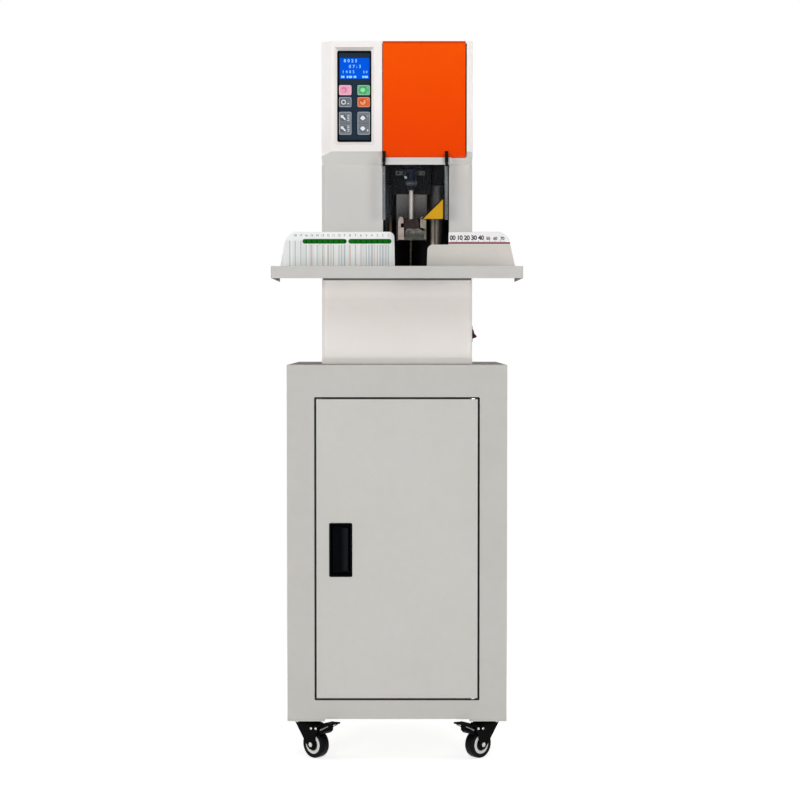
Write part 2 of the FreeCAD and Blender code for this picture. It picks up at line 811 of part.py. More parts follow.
def rear_cover():
    """Flat rear cover with vent slots and the inlet's cut-out, inside the side walls."""
    half = half_head - head_wall - rear_cover_gap
    cover = box((-half, half), (column_back_y - sheet, column_back_y), (base_top_z, head_top_z - head_wall))
    cuts = []
    for side in (-1, 1):
        for row in range(vent_count):
            low_z = base_top_z + vent_base_height + row * vent_pitch
            centre_x = side * half / 2
            slot = rounded_box((centre_x - vent_width / 2, centre_x + vent_width / 2),
                               (column_back_y - sheet - margin, column_back_y + margin),
                               (low_z, low_z + vent_height), vent_corner, Y_AXIS)
            cuts.append(slot)
    centre_z = base_top_z + inlet_above_base
    cuts.append(box((inlet_x - inlet_width / 2 - running_fit, inlet_x + inlet_width / 2 + running_fit),
                    (column_back_y - sheet - margin, column_back_y + margin),
                    (centre_z - inlet_height / 2 - running_fit, centre_z + inlet_height / 2 + running_fit)))
    return cover.cut(cuts)


# ---------------------------------------------------------------- head casing

def bevel_z(y, inset=0.0):
    """Height of the sloping underside at y, or of the face that lies inset inside it."""
    return column_top_z + bevel_slope * (column_front_y - y) + inset * math.sqrt(1 + bevel_slope ** 2)


def head_block(inset, over):
    """Head as a solid block, each face moved in by the inset; it runs over at the back and bottom."""
    front_y = head_front_y + inset
    back_y = column_back_y + over
    low_z = column_top_z - over
    foot_y = column_front_y + (inset * math.sqrt(1 + bevel_slope ** 2) + over) / bevel_slope
    side = [
        V(0, front_y, bevel_z(front_y, inset)),
        V(0, front_y, head_top_z - inset),
        V(0, back_y, head_top_z - inset),
        V(0, back_y, low_z),
        V(0, foot_y, low_z),
    ]
    half = half_head - inset
    body = prism(side, V(2 * half, 0, 0))
    body.translate(V(-half, 0, 0))
    trim = inset * (2 - math.sqrt(2))
    corners = []
    for sign, chamfer in ((-1, left_chamfer - trim), (1, right_chamfer - trim)):
        edge_x = sign * half
        wedge = [
            V(edge_x + sign * margin, front_y - margin, 0),
            V(edge_x - sign * (chamfer + margin), front_y - margin, 0),
            V(edge_x + sign * margin, front_y + chamfer + margin, 0),
        ]
        corners.append(prism(wedge, V(0, 0, head_top_z + margin)))
    return body.cut(corners)


def front_arm(low_z):
    """Gooseneck arm from the head's right wall to the front door's pivot, rounded at the pivot."""
    back_y = head_front_y + arm_back_depth
    arm_z = (low_z, low_z + arm_height)
    eye = upright(arm_half_width, front_pivot.x, front_pivot.y, arm_z)
    left_x = front_pivot.x - arm_half_width
    tongue = box((left_x, front_pivot.x + arm_half_width), (front_pivot.y, back_y), arm_z)
    root = box((left_x, half_head - head_wall / 2), (back_y - arm_thickness, back_y), arm_z)
    return join(eye, tongue, root)


front_arm_low_z = front_door_bottom_z + front_door_wall + arm_clearance
front_arm_high_z = head_top_z - front_door_wall - arm_clearance - arm_height


def head_casing():
    """Moulded head shell: console pocket at the left, open bay behind the front door, chin over the throat."""
    shell = head_block(0, 0).cut(head_block(head_wall, margin))
    stile_x = door_right_x + front_door_hinge_gap
    bay_left = door_left_x - front_door_gap
    bay = box((bay_left, stile_x), (head_front_y - margin, head_front_y + front_door_depth + front_door_gap),
              (front_door_bottom_z - front_door_gap, head_top_z + margin))
    passage = box((bay_left, throat_right), (head_front_y - margin, column_front_y + frame_room_depth),
                  (column_top_z - margin, front_door_bottom_z + bevel_rise))
    wall_x = half_head - head_wall
    frame_room = box((-wall_x, wall_x), (frame_front_y - slide_clearance, column_front_y + frame_room_depth),
                     (column_top_z - margin, column_top_z + bevel_rise))
    shell = shell.cut([bay, passage, frame_room])

    chin_top_z = front_door_bottom_z - front_door_gap
    chin_low_z = chin_top_z - chin_height
    chin_y = head_front_y + chin_setback
    chin_outline = [
        V(bay_left, chin_y, chin_top_z),
        V(bay_left, chin_y + chin_lean, chin_low_z),
        V(bay_left, chin_y + chin_lean + chin_wall, chin_low_z),
        V(bay_left, chin_y + chin_wall, chin_top_z),
    ]
    chin = prism(chin_outline, V(throat_right - bay_left, 0, 0))
    cheek_outline = [
        V(0, chin_y, chin_top_z),
        V(0, chin_y + chin_lean, chin_low_z),
        V(0, column_front_y - slide_clearance, chin_low_z),
        V(0, column_front_y - slide_clearance, column_top_z + head_wall),
        V(0, chin_y + front_door_depth + front_door_gap, chin_top_z),
    ]
    cheeks = []
    for low_x in (bay_left - head_wall, throat_right):
        cheek = prism(cheek_outline, V(head_wall, 0, 0))
        cheek.translate(V(low_x, 0, 0))
        cheeks.append(cheek)

    bay_back_y = head_front_y + front_door_depth + front_door_gap
    left_wall = box((bay_left - head_wall, bay_left), (head_front_y, bay_back_y), (column_top_z, head_top_z))
    left_wall = left_wall.common(head_block(0, 0))

    back_y = panel_front_y + panel_plate
    rim = box((console_left - console_rim, console_right + console_rim), (head_front_y + head_wall, back_y),
              (console_z[0] - console_rim, console_z[1] + console_rim))
    flange_y = (column_back_y - sheet - head_wall, column_back_y - sheet)
    flange_z = (column_top_z, head_top_z - head_wall)
    flanges = [
        box((-wall_x, -wall_x + column_back_flange), flange_y, flange_z),
        box((wall_x - column_back_flange, wall_x), flange_y, flange_z),
    ]
    arms = [front_arm(front_arm_low_z), front_arm(front_arm_high_z)]
    casing = join(shell, chin, *cheeks, left_wall, rim, *flanges, *arms)

    mouth = Part.makePolygon([
        V(console_left, head_front_y, console_z[0]), V(console_right, head_front_y, console_z[0]),
        V(console_right, head_front_y, console_z[1]), V(console_left, head_front_y, console_z[1]),
        V(console_left, head_front_y, console_z[0])])
    left, right = console_left + console_bevel, console_right - console_bevel
    low, high = console_z[0] + console_bevel, console_z[1] - console_bevel
    floor = Part.makePolygon([
        V(left, panel_front_y, low), V(right, panel_front_y, low), V(right, panel_front_y, high),
        V(left, panel_front_y, high), V(left, panel_front_y, low)])
    pocket = Part.makeLoft([mouth, floor], True)
    well = box((left, right), (panel_front_y - margin / 2, back_y + margin), (low, high))
    pin_radius = front_pin_radius + running_fit
    pin_holes = []
    for low_z in (front_arm_low_z, front_arm_high_z):
        pin_holes.append(upright(pin_radius, front_pivot.x, front_pivot.y,
                                 (low_z - margin, low_z + arm_height + margin)))
    return casing.cut([pocket, well] + pin_holes)


def front_door():
    """Front door tray: skin, top, bottom and left walls; its right side is open for the hinge arms."""
    left_x, right_x = door_left_x, door_right_x
    back_y = head_front_y + front_door_depth
    outer = box((left_x, right_x), (head_front_y, back_y), (front_door_bottom_z, head_top_z))
    front_y = (head_front_y - margin, head_front_y + margin)
    whole_z = (0, head_top_z + margin)
    right_zone = zone((right_x - margin, right_x + margin), front_y, whole_z)
    outer = outer.makeFillet(front_door_corner, edges_along(outer, Z_AXIS, right_zone))
    left_zone = zone((left_x - margin, left_x + margin), front_y, whole_z)
    outer = outer.makeFillet(front_door_free_corner, edges_along(outer, Z_AXIS, left_zone))
    inner = box((left_x + front_door_wall, right_x + margin), (head_front_y + front_door_wall, back_y + margin),
                (front_door_bottom_z + front_door_wall, head_top_z - front_door_wall))
    sill_relief = box((left_x + front_door_wall, front_door_sill_end),
                      (head_front_y + front_door_sill, back_y + margin),
                      (front_door_bottom_z - margin, front_door_bottom_z + front_door_wall + margin))
    pin_radius = front_pin_radius + running_fit
    low_hole = upright(pin_radius, front_pivot.x, front_pivot.y,
                       (front_door_bottom_z - margin, front_door_bottom_z + front_door_wall + margin))
    high_hole = upright(pin_radius, front_pivot.x, front_pivot.y,
                        (head_top_z - front_door_wall - margin, head_top_z - front_pin_cover))
    return outer.cut([inner, sill_relief, low_hole, high_hole])


def front_door_pins():
    """Hinge pins through the arms into the door's bottom and top walls."""
    low = upright(front_pin_radius, front_pivot.x, front_pivot.y,
                  (front_door_bottom_z + running_fit, front_arm_low_z + arm_height + front_pin_tail))
    high = upright(front_pin_radius, front_pivot.x, front_pivot.y,
                   (front_arm_high_z - front_pin_tail, head_top_z - front_pin_cover - running_fit))
    return [low, high]


def make_casing():
    parts["machine_base"] = machine_base()
    parts["column_casing"] = column_casing()
    parts["rear_cover"] = rear_cover()
    parts["head_casing"] = head_casing()
    parts["front_door"] = front_door()
    parts["front_door_pins"] = front_door_pins()


# ---------------------------------------------------------------- console

def console_row(share):
    """Height of a row, a share of the way up the console pocket."""
    return console_z[0] + share * (console_z[1] - console_z[0])


key_places = {
    "key_stop": (key_column_left, console_row(key_row_high)),
    "key_start": (key_column_right, console_row(key_row_high)),
    "key_menu": (key_column_left, console_row(key_row_low)),
    "key_confirm": (key_column_right, console_row(key_row_low)),
}
rocker_places = {
    "rocker_key_left": (key_column_left, console_row(rocker_row)),
    "rocker_key_right": (key_column_right, console_row(rocker_row)),
}


def console_panel():
    """Dark panel plate in the pocket, with a flange behind the casing and holes for keys and display."""
    left, right = console_left + console_bevel, console_right - console_bevel
    low = console_z[0] + console_bevel
    high = console_z[1] - console_bevel
    plate = box((left + panel_gap, right - panel_gap), (panel_front_y, panel_front_y + panel_plate),
                (low + panel_gap, high - panel_gap))
    flange = box((left - panel_lip, right + panel_lip), (panel_front_y + panel_plate, panel_back_y),
                 (low - panel_lip, high + panel_lip))
    through = (panel_front_y - margin, panel_back_y + margin)
    cuts = []
    for x, z in key_places.values():
        half_w = key_width / 2 + key_gap
        half_h = key_height / 2 + key_gap
        cuts.append(box((x - half_w, x + half_w), through, (z - half_h, z + half_h)))
    for x, z in rocker_places.values():
        half_w = key_width / 2 + key_gap
        half_h = rocker_height / 2 + rocker_hole_gap
        cuts.append(box((x - half_w, x + half_w), through, (z - half_h, z + half_h)))
        reach = half_w + trunnion_length
        cuts.append(rod(trunnion_radius + running_fit, V(x - reach, trunnion_y, z),
                        V(x + reach, trunnion_y, z)))
    cuts.append(box((display_left, display_right), through,
                    (console_row(display_low), console_row(display_high))))
    return join(plate, flange).cut(cuts)


def push_key(x, z):
    """Key cap through the panel, with a flange behind it."""
    cap = box((x - key_width / 2, x + key_width / 2), (panel_front_y - key_proud, panel_back_y),
              (z - key_height / 2, z + key_height / 2))
    half_w = key_width / 2 + key_flange_lip
    half_h = key_height / 2 + key_flange_lip
    flange = box((x - half_w, x + half_w), (panel_back_y, panel_back_y + key_flange), (z - half_h, z + half_h))
    return join(cap, flange)


def rocker_key(x, z):
    """Tall rocker cap with two trunnions in the panel."""
    cap = box((x - key_width / 2, x + key_width / 2), (panel_front_y - key_proud, panel_front_y + rocker_depth),
              (z - rocker_height / 2, z + rocker_height / 2))
    reach = key_width / 2 + key_gap + trunnion_length - trunnion_end_gap
    trunnion = rod(trunnion_radius, V(x - reach, trunnion_y, z), V(x + reach, trunnion_y, z))
    return join(cap, trunnion)


def display_module():
    """Display: glass face in the panel's window and a wider body behind it."""
    low, high = console_row(display_low), console_row(display_high)
    face = box((display_left + panel_gap, display_right - panel_gap),
               (panel_front_y + display_recess, panel_back_y),
               (low + panel_gap, high - panel_gap))
    body = box((display_left - display_lip, display_right + display_lip),
               (panel_back_y, panel_back_y + board_standoff), (low - display_lip, high + display_lip))
    return join(face, body)


def control_board():
    """Circuit board behind the panel, with a small switch under each key and rocker end."""
    left, right = console_left, console_right
    low = console_z[0] + console_bevel
    high = console_z[1] - console_bevel
    front_y = panel_back_y + board_standoff
    board = box((left, right), (front_y, front_y + board_thickness), (low, high))
    switches = []
    half = switch_body / 2
    tip_y = panel_back_y + key_flange + key_travel + switch_tip_gap
    for x, z in key_places.values():
        switches.append(box((x - half, x + half), (tip_y, front_y), (z - half, z + half)))
    for x, z in rocker_places.values():
        for side in (-1, 1):
            end_z = z + side * rocker_switch_spread
            switches.append(box((x - half, x + half), (tip_y, front_y), (end_z - half, end_z + half)))
    return join(board, *switches)


def make_console():
    parts["console_panel"] = console_panel()
    parts["display_module"] = display_module()
    parts["control_board"] = control_board()
    for name, (x, z) in key_places.items():
        parts[name] = push_key(x, z)
    for name, (x, z) in rocker_places.items():
        parts[name] = rocker_key(x, z)


# ---------------------------------------------------------------- power switch and inlet

def switch_bezel():
    """Switch frame: flange on the column's side, body inside, open in the middle for the rocker."""
    centre_z = base_top_z + switch_above_base
    half_h, half_w = switch_height / 2, switch_width / 2
    flange = box((half_column, half_column + switch_flange), (switch_y - half_w, switch_y + half_w),
                 (centre_z - half_h, centre_z + half_h))
    body = box((half_column - switch_body_depth, half_column), (switch_y - half_w + switch_rim,
                                                                switch_y + half_w - switch_rim),
               (centre_z - half_h + switch_rim, centre_z + half_h - switch_rim))
    rocker_w = half_w - switch_rim - switch_wall
    rocker_h = half_h - switch_rim - switch_wall
    well = box((half_column - switch_well_depth, half_column + switch_flange + margin),
               (switch_y - rocker_w, switch_y + rocker_w),
               (centre_z - rocker_h, centre_z + rocker_h))
    pivot_x = half_column - switch_pivot_depth
    pin_reach = rocker_w + switch_pin_length
    pin_hole = rod(switch_pin_radius + running_fit, V(pivot_x, switch_y - pin_reach, centre_z),
                   V(pivot_x, switch_y + pin_reach, centre_z))
    return join(flange, body).cut([well, pin_hole])


def switch_rocker():
    """Rocker on two stub pins; its lower end stands out at rest."""
    centre_z = base_top_z + switch_above_base
    rocker_w = switch_width / 2 - switch_rim - switch_wall - switch_rocker_gap
    rocker_h = switch_height / 2 - switch_rim - switch_wall - switch_rocker_gap
    pivot_x = half_column - switch_pivot_depth
    side_y = switch_y - rocker_w
    outline = [
        V(pivot_x - switch_rocker_back, side_y, centre_z - switch_rocker_back),
        V(pivot_x - switch_rocker_back, side_y, centre_z + switch_rocker_back),
        V(pivot_x + switch_flange, side_y, centre_z + rocker_h),
        V(pivot_x + switch_rocker_low, side_y, centre_z + rocker_h - switch_rocker_land),
        V(pivot_x + switch_rocker_rise, side_y, centre_z - switch_rocker_knee),
        V(pivot_x + switch_rocker_rise - switch_rocker_land, side_y, centre_z - switch_rocker_foot),
    ]
    body = prism(outline, V(0, 2 * rocker_w, 0))
    reach = switch_width / 2 - switch_rim - switch_wall + switch_pin_length - trunnion_end_gap
    pins = rod(switch_pin_radius, V(pivot_x, switch_y - reach, centre_z),
               V(pivot_x, switch_y + reach, centre_z))
    return join(body, pins)


def power_inlet():
    """Three-pin mains inlet: flange on the rear cover, recessed body and three flat pins."""
    centre_z = base_top_z + inlet_above_base
    half_w, half_h = inlet_width / 2, inlet_height / 2
    face_y = column_back_y
    flange = rounded_box((inlet_x - inlet_flange_width / 2, inlet_x + inlet_flange_width / 2),
                         (face_y, face_y + inlet_flange),
                         (centre_z - inlet_flange_height / 2, centre_z + inlet_flange_height / 2),
                         inlet_flange_corner, Y_AXIS)
    body = box((inlet_x - half_w, inlet_x + half_w), (face_y - inlet_depth, face_y),
               (centre_z - half_h, centre_z + half_h))
    well = box((inlet_x - half_w + inlet_wall, inlet_x + half_w - inlet_wall),
               (face_y - inlet_depth + 2 * inlet_wall, face_y + inlet_flange + margin),
               (centre_z - half_h + inlet_wall, centre_z + half_h - inlet_wall))
    well_zone = zone((inlet_x - half_w, inlet_x + half_w), (face_y - inlet_depth, face_y + inlet_depth),
                     (centre_z + half_h - inlet_wall - margin, centre_z + half_h))
    well = well.makeChamfer(inlet_corner, edges_along(well, Y_AXIS, well_zone))
    floor_y = face_y - inlet_depth + 2 * inlet_wall
    pins = []
    pin_y = (floor_y - inlet_wall, floor_y + inlet_pin_length)
    places = ((-inlet_pin_spacing, inlet_pin_low), (inlet_pin_spacing, inlet_pin_low), (0, inlet_pin_high))
    for dx, dz in places:
        x, z = inlet_x + dx, centre_z + dz
        pins.append(box((x - inlet_pin_half, x + inlet_pin_half), pin_y,
                        (z - 2 * inlet_pin_half, z + 2 * inlet_pin_half)))
    return join(join(flange, body).cut(well), *pins)


def make_power():
    parts["switch_bezel"] = switch_bezel()
    parts["switch_rocker"] = switch_rocker()
    parts["power_inlet"] = power_inlet()


# ---------------------------------------------------------------- clear guard

guard_sides = (
    (guard_left_x, guard_left_x + guard_wall),
    (guard_right_x - guard_wall, guard_right_x),
)
bracket_spans = (
    (guard_left_x - bracket_overlap, guard_left_x - bracket_overlap + bracket_width),
    (guard_right_x + bracket_overlap - bracket_width, guard_right_x + bracket_overlap),
)


def guard_brackets():
    """Black clevis on each side: plate on the front door's face, knuckle below it, and the hinge pin."""
    brackets = []
    top_z = column_top_z + bracket_rise
    for (low_x, high_x), (ear_low, ear_high) in zip(bracket_spans, guard_sides):
        plate = box((low_x, high_x), (head_front_y - bracket_plate, head_front_y),
                    (front_door_bottom_z, top_z))
        cap = box((low_x, high_x), (guard_pivot_y - bracket_knuckle_radius, head_front_y),
                  (front_door_bottom_z, top_z - bracket_cap_drop))
        knuckle = rod(bracket_knuckle_radius, V(low_x, guard_pivot_y, guard_pivot_z),
                      V(high_x, guard_pivot_y, guard_pivot_z))
        neck = box((low_x, high_x), (guard_pivot_y - bracket_knuckle_radius, head_front_y - bracket_slot_gap),
                   (guard_pivot_z, front_door_bottom_z + bracket_plate))
        solid = join(plate, cap, knuckle, neck)
        slot = box((ear_low - bracket_slot_gap, ear_high + bracket_slot_gap),
                   (guard_pivot_y - bracket_rise, head_front_y + margin),
                   (guard_pivot_z - bracket_rise, guard_pivot_z + ear_radius + bracket_slot_gap))
        pin = rod(guard_pin_radius, V(low_x, guard_pivot_y, guard_pivot_z),
                  V(high_x, guard_pivot_y, guard_pivot_z))
        brackets.append(join(solid.cut(slot), pin))
    return brackets


def guard_panel():
    """Clear pane with two side walls, each with an ear up to the hinge pin."""
    low_z = guard_top_z - guard_height
    back_y = guard_front_y + guard_depth
    outer = box((guard_left_x, guard_right_x), (guard_front_y, back_y), (low_z, guard_top_z))
    front_zone = zone((guard_left_x - margin, guard_right_x + margin),
                      (guard_front_y - margin, guard_front_y + margin), (low_z, guard_top_z))
    outer = outer.makeFillet(guard_corner_radius, edges_along(outer, Z_AXIS, front_zone))
    inner = box((guard_left_x + guard_wall, guard_right_x - guard_wall),
                (guard_front_y + guard_wall, back_y + margin), (low_z - margin, guard_top_z + margin))
    pieces = []
    for low_x, high_x in guard_sides:
        ear = rod(ear_radius, V(low_x, guard_pivot_y, guard_pivot_z), V(high_x, guard_pivot_y, guard_pivot_z))
        neck = box((low_x, high_x), (guard_pivot_y - ear_radius, guard_pivot_y + ear_radius),
                   (guard_top_z - ear_neck_drop, guard_pivot_z))
        neck = neck.cut(box((low_x - margin, high_x + margin), (guard_pivot_y - guard_standoff, guard_front_y),
                            (low_z, guard_top_z)))
        pieces += [ear, neck]
    guard = join(outer.cut(inner), *pieces)
    hole = rod(guard_pin_radius + running_fit, V(guard_left_x - margin, guard_pivot_y, guard_pivot_z),
               V(guard_right_x + margin, guard_pivot_y, guard_pivot_z))
    return guard.cut(hole)


def make_guard():
    parts["guard_brackets"] = guard_brackets()
    parts["guard_panel"] = guard_panel()


# ---------------------------------------------------------------- paper table and fences

half_table = table_width / 2


def paper_table():
    """Folded table round the column's front: deep flanges outside, shallow ones inside, a gap for the anvil."""
    wing_back_y = column_front_y + table_wing_depth
    low_z = table_top_z - table_flange
    inner_low_z = table_top_z - table_inner_flange
    outer = box((-half_table, half_table), (table_front_y, wing_back_y), (low_z, table_top_z))
    front_zone = zone((-half_table - margin, half_table + margin),
                      (table_front_y - margin, table_front_y + margin), (low_z, table_top_z))
    outer = outer.makeFillet(table_corner_radius, edges_along(outer, Z_AXIS, front_zone))
    under = box((-half_table + table_sheet, half_table - table_sheet),
                (table_front_y + table_sheet, wing_back_y - table_sheet),
                (low_z - margin, table_top_z - table_sheet))
    under_back = box((-half_table + table_sheet, half_table - table_sheet),
                     (wing_back_y - table_sheet - margin, wing_back_y + margin), (low_z - margin, inner_low_z))
    notch_half = half_column + table_column_gap
    collar_half = notch_half + table_sheet
    collar_front_y = column_front_y - table_column_gap - table_sheet
    collar = box((-collar_half, collar_half), (collar_front_y, wing_back_y), (inner_low_z, table_top_z))
    table = join(outer.cut([under, under_back]), collar)
    notch = box((-notch_half, notch_half), (column_front_y - table_column_gap, wing_back_y + margin),
                (low_z - margin, table_top_z + margin))
    anvil_gap = box((anvil_nose_left - slide_clearance, anvil_nose_right + slide_clearance),
                    (collar_front_y - margin, column_front_y), (low_z - margin, table_top_z - table_sheet))
    holes = []
    for x in (drill_x, rivet_x):
        holes.append(upright(insert_radius + insert_hole_gap, x, drill_y,
                             (table_top_z - table_sheet - margin, table_top_z + margin)))
    return table.cut([notch, anvil_gap] + holes)


def fence(points, corners):
    """Upright fence plate from its outline, rounded at the listed corners, with a foot along its back."""
    face = prism([V(x, fence_face_y, z) for x, z in points], V(0, fence_sheet, 0))
    for x, z, radius in corners:
        spot = zone((x - margin, x + margin), (fence_face_y - margin, fence_back_y + margin),
                    (z - margin, z + margin))
        face = face.makeFillet(radius, edges_along(face, Y_AXIS, spot))
    xs = [x for x, z in points if z == table_top_z]
    foot = box((min(xs), max(xs)), (fence_face_y, column_front_y - slide_clearance),
               (table_top_z, table_top_z + fence_foot_height))
    return join(face, foot)


def left_fence():
    """Long left fence."""
    top_z = table_top_z + left_fence_height
    points = [
        (left_fence_outer, table_top_z), (left_fence_inner, table_top_z),
        (left_fence_inner_top, top_z), (left_fence_outer_top, top_z),
    ]
    corners = [
        (left_fence_inner_top, top_z, fence_low_corner_radius),
        (left_fence_outer_top, top_z, fence_corner_radius),
    ]
    return fence(points, corners)


def right_fence():
    """Right fence, lower where it passes in front of the throat."""
    top_z = table_top_z + left_fence_height
    low_z = table_top_z + right_fence_low
    points = [
        (right_fence_inner, table_top_z), (right_fence_outer, table_top_z), (right_fence_outer_top, top_z),
        (right_fence_step_x, top_z), (right_fence_step_x, low_z), (right_fence_inner_top, low_z),
    ]
    corners = [
        (right_fence_inner_top, low_z, fence_low_corner_radius),
        (right_fence_outer_top, top_z, fence_corner_radius),
        (right_fence_step_x, top_z, fence_step_radius),
    ]
    return fence(points, corners)


def make_table():
    parts["paper_table"] = paper_table()
    parts["left_fence"] = left_fence()
    parts["right_fence"] = right_fence()


# ---------------------------------------------------------------- frame and mechanism

rod_places = ((drill_x - column_rod_spread, rod_y), (drill_x + column_rod_spread, rod_y))


def machine_frame():
    """Welded frame: foot plate, two side plates, back plate and the anvil with its nose under the table."""
    frame_x = (frame_left_x, frame_right_x)
    frame_y = (frame_front_y, frame_back_y)
    foot = box((frame_left_x - frame_foot_margin, frame_right_x),
               (frame_front_y, frame_back_y + frame_foot_margin),
               (base_top_z, base_top_z + frame_plate))
    sides = [
        box((frame_left_x, frame_left_x + frame_plate), frame_y, (base_top_z, top_plate_z)),
        box((frame_right_x - frame_plate, frame_right_x), frame_y, (base_top_z, top_plate_z)),
    ]
    back = box(frame_x, (frame_back_y - frame_plate, frame_back_y), (base_top_z, top_plate_z))
    anvil = box(frame_x, frame_y, (anvil_bottom_z, anvil_top_z))
    nose = box((anvil_nose_left, anvil_nose_right), (column_front_y - anvil_nose_reach, frame_front_y + margin),
               (anvil_top_z - anvil_nose_thickness, anvil_top_z))
    cuts = []
    for x in (drill_x, rivet_x):
        cuts.append(upright(insert_radius + running_fit, x, drill_y,
                            (anvil_top_z - insert_seat, anvil_top_z + margin)))
    cuts.append(upright(screw_radius + screw_pass_gap, drill_x, nut_y,
                        (anvil_bottom_z - margin, anvil_top_z + margin)))
    return join(foot, *sides, back, anvil, nose).cut(cuts)


def guide_columns():
    """Two ground columns from the anvil up through the top plate."""
    span = (anvil_top_z, top_plate_z + top_plate_thickness)
    return [upright(column_rod_radius, x, y, span) for x, y in rod_places]


def top_plate():
    """Bridge plate over the frame, with a nose over the rivet actuator."""
    z = (top_plate_z, top_plate_z + top_plate_thickness)
    plate = box((frame_left_x, frame_right_x), (frame_front_y, frame_back_y), z)
    nose_half = actuator_half_width + top_nose_margin
    nose = box((rivet_x - nose_half, rivet_x + nose_half),
               (drill_y - actuator_half_width, frame_front_y + margin), z)
    holes = []
    for x, y in rod_places:
        holes.append(upright(column_rod_radius + running_fit, x, y, (z[0] - margin, z[1] + margin)))
    holes.append(upright(screw_end_radius + running_fit, drill_x, nut_y, (z[0] - margin, z[1] + margin)))
    holes.append(upright(ram_radius + slide_clearance, rivet_x, drill_y, (z[0] - margin, z[1] + margin)))
    return join(plate, nose).cut(holes)


def carriage():
    """Cast carriage: column bosses, web, front block with the foot's slot, spindle housing and nut arm."""
    low_z = table_top_z + carriage_bottom
    high_z = table_top_z + carriage_top
    boss_radius = column_rod_radius + bushing_wall
    bosses = [upright(boss_radius, x, y, (low_z, high_z)) for x, y in rod_places]
    web = box((rod_places[0][0], rod_places[1][0]), (rod_y - carriage_web, rod_y + carriage_web),
              (low_z, high_z))
    block = box((block_left, block_right), (block_front_y, block_back_y), (table_top_z + block_bottom, high_z))
    bridge = box((block_left + bridge_inset, block_right - bridge_inset), (block_back_y - margin, rod_y),
                 (low_z, high_z))
    housing = upright(housing_radius, drill_x, drill_y, (table_top_z + housing_bottom, high_z))
    housing_web = box((drill_x - housing_radius, drill_x + housing_radius), (drill_y, block_front_y + margin),
                      (table_top_z + housing_bottom, high_z))
    arm = box((drill_x - nut_arm_half, drill_x + nut_arm_half), (rod_y, nut_y), (low_z, high_z))
    nut_boss = upright(nut_radius, drill_x, nut_y, (low_z, high_z))
    body = join(*bosses, web, block, bridge, housing, housing_web, arm, nut_boss)
    cuts = []
    span = (table_top_z + foot_bottom_gap, high_z + margin)
    for x, y in rod_places:
        cuts.append(upright(column_rod_radius + running_fit, x, y, span))
    cuts.append(upright(screw_radius + screw_nut_clearance, drill_x, nut_y, span))
    cuts.append(upright(spindle_radius + running_fit, drill_x, drill_y, span))
    cuts.append(box((slide_plate_left - slide_clearance, slide_plate_right + slide_clearance),
                    (slide_plate_front_y - slide_clearance, slide_plate_back_y + slide_clearance), span))
    return body.cut(cuts)


def spindle():
    """Hollow spindle shaft with the chuck and its tapered nose; the drill bit seats in the bore."""
    low_z = table_top_z + chuck_bottom
    chuck = upright(chuck_radius, drill_x, drill_y, (low_z + chuck_nose_height, low_z + chuck_height))
    nose = Part.makeCone(chuck_nose_radius, chuck_radius, chuck_nose_height, V(drill_x, drill_y, low_z))
    shaft_top_z = table_top_z + carriage_top + motor_height + gear_case_height - spindle_top_drop
    shaft = upright(spindle_radius, drill_x, drill_y, (low_z + chuck_height - margin, shaft_top_z))
    bore = upright(drill_radius + running_fit, drill_x, drill_y,
                   (low_z - margin, low_z + drill_grip + running_fit))
    chip_bore = upright(drill_bore_radius, drill_x, drill_y, (low_z, shaft_top_z + margin))
    return join(chuck, nose, shaft).cut([bore, chip_bore])


def drill_bit():
    """Hollow drill with a bevelled cutting edge, its tip just inside the press foot."""
    low_z = table_top_z + foot_bottom_gap + drill_tip_inset
    high_z = table_top_z + chuck_bottom + drill_grip
    tube = upright(drill_radius, drill_x, drill_y, (low_z + drill_point, high_z))
    tip = Part.makeCone(drill_bore_radius + drill_edge, drill_radius, drill_point, V(drill_x, drill_y, low_z))
    bore = upright(drill_bore_radius, drill_x, drill_y, (low_z - margin, high_z + margin))
    return join(tube, tip).cut(bore)


def drill_motor():
    """Parallel-shaft gearmotor: motor between the guide columns, gear case forward over the spindle."""
    low_z = table_top_z + carriage_top
    case_z = (low_z + motor_height, low_z + motor_height + gear_case_height)
    motor_y = rod_y + motor_back
    motor = upright(motor_radius, drill_x, motor_y, (low_z, case_z[0]))
    case = box((drill_x - gear_case_half_width, drill_x + gear_case_half_width),
               (drill_y - housing_radius, motor_y + motor_radius / 2), case_z)
    case = case.makeFillet(gear_case_corner, edges_along(case, Z_AXIS))
    bore = upright(spindle_radius + running_fit, drill_x, drill_y, (case_z[0] - margin, case_z[1] + margin))
    return join(motor, case).cut(bore)


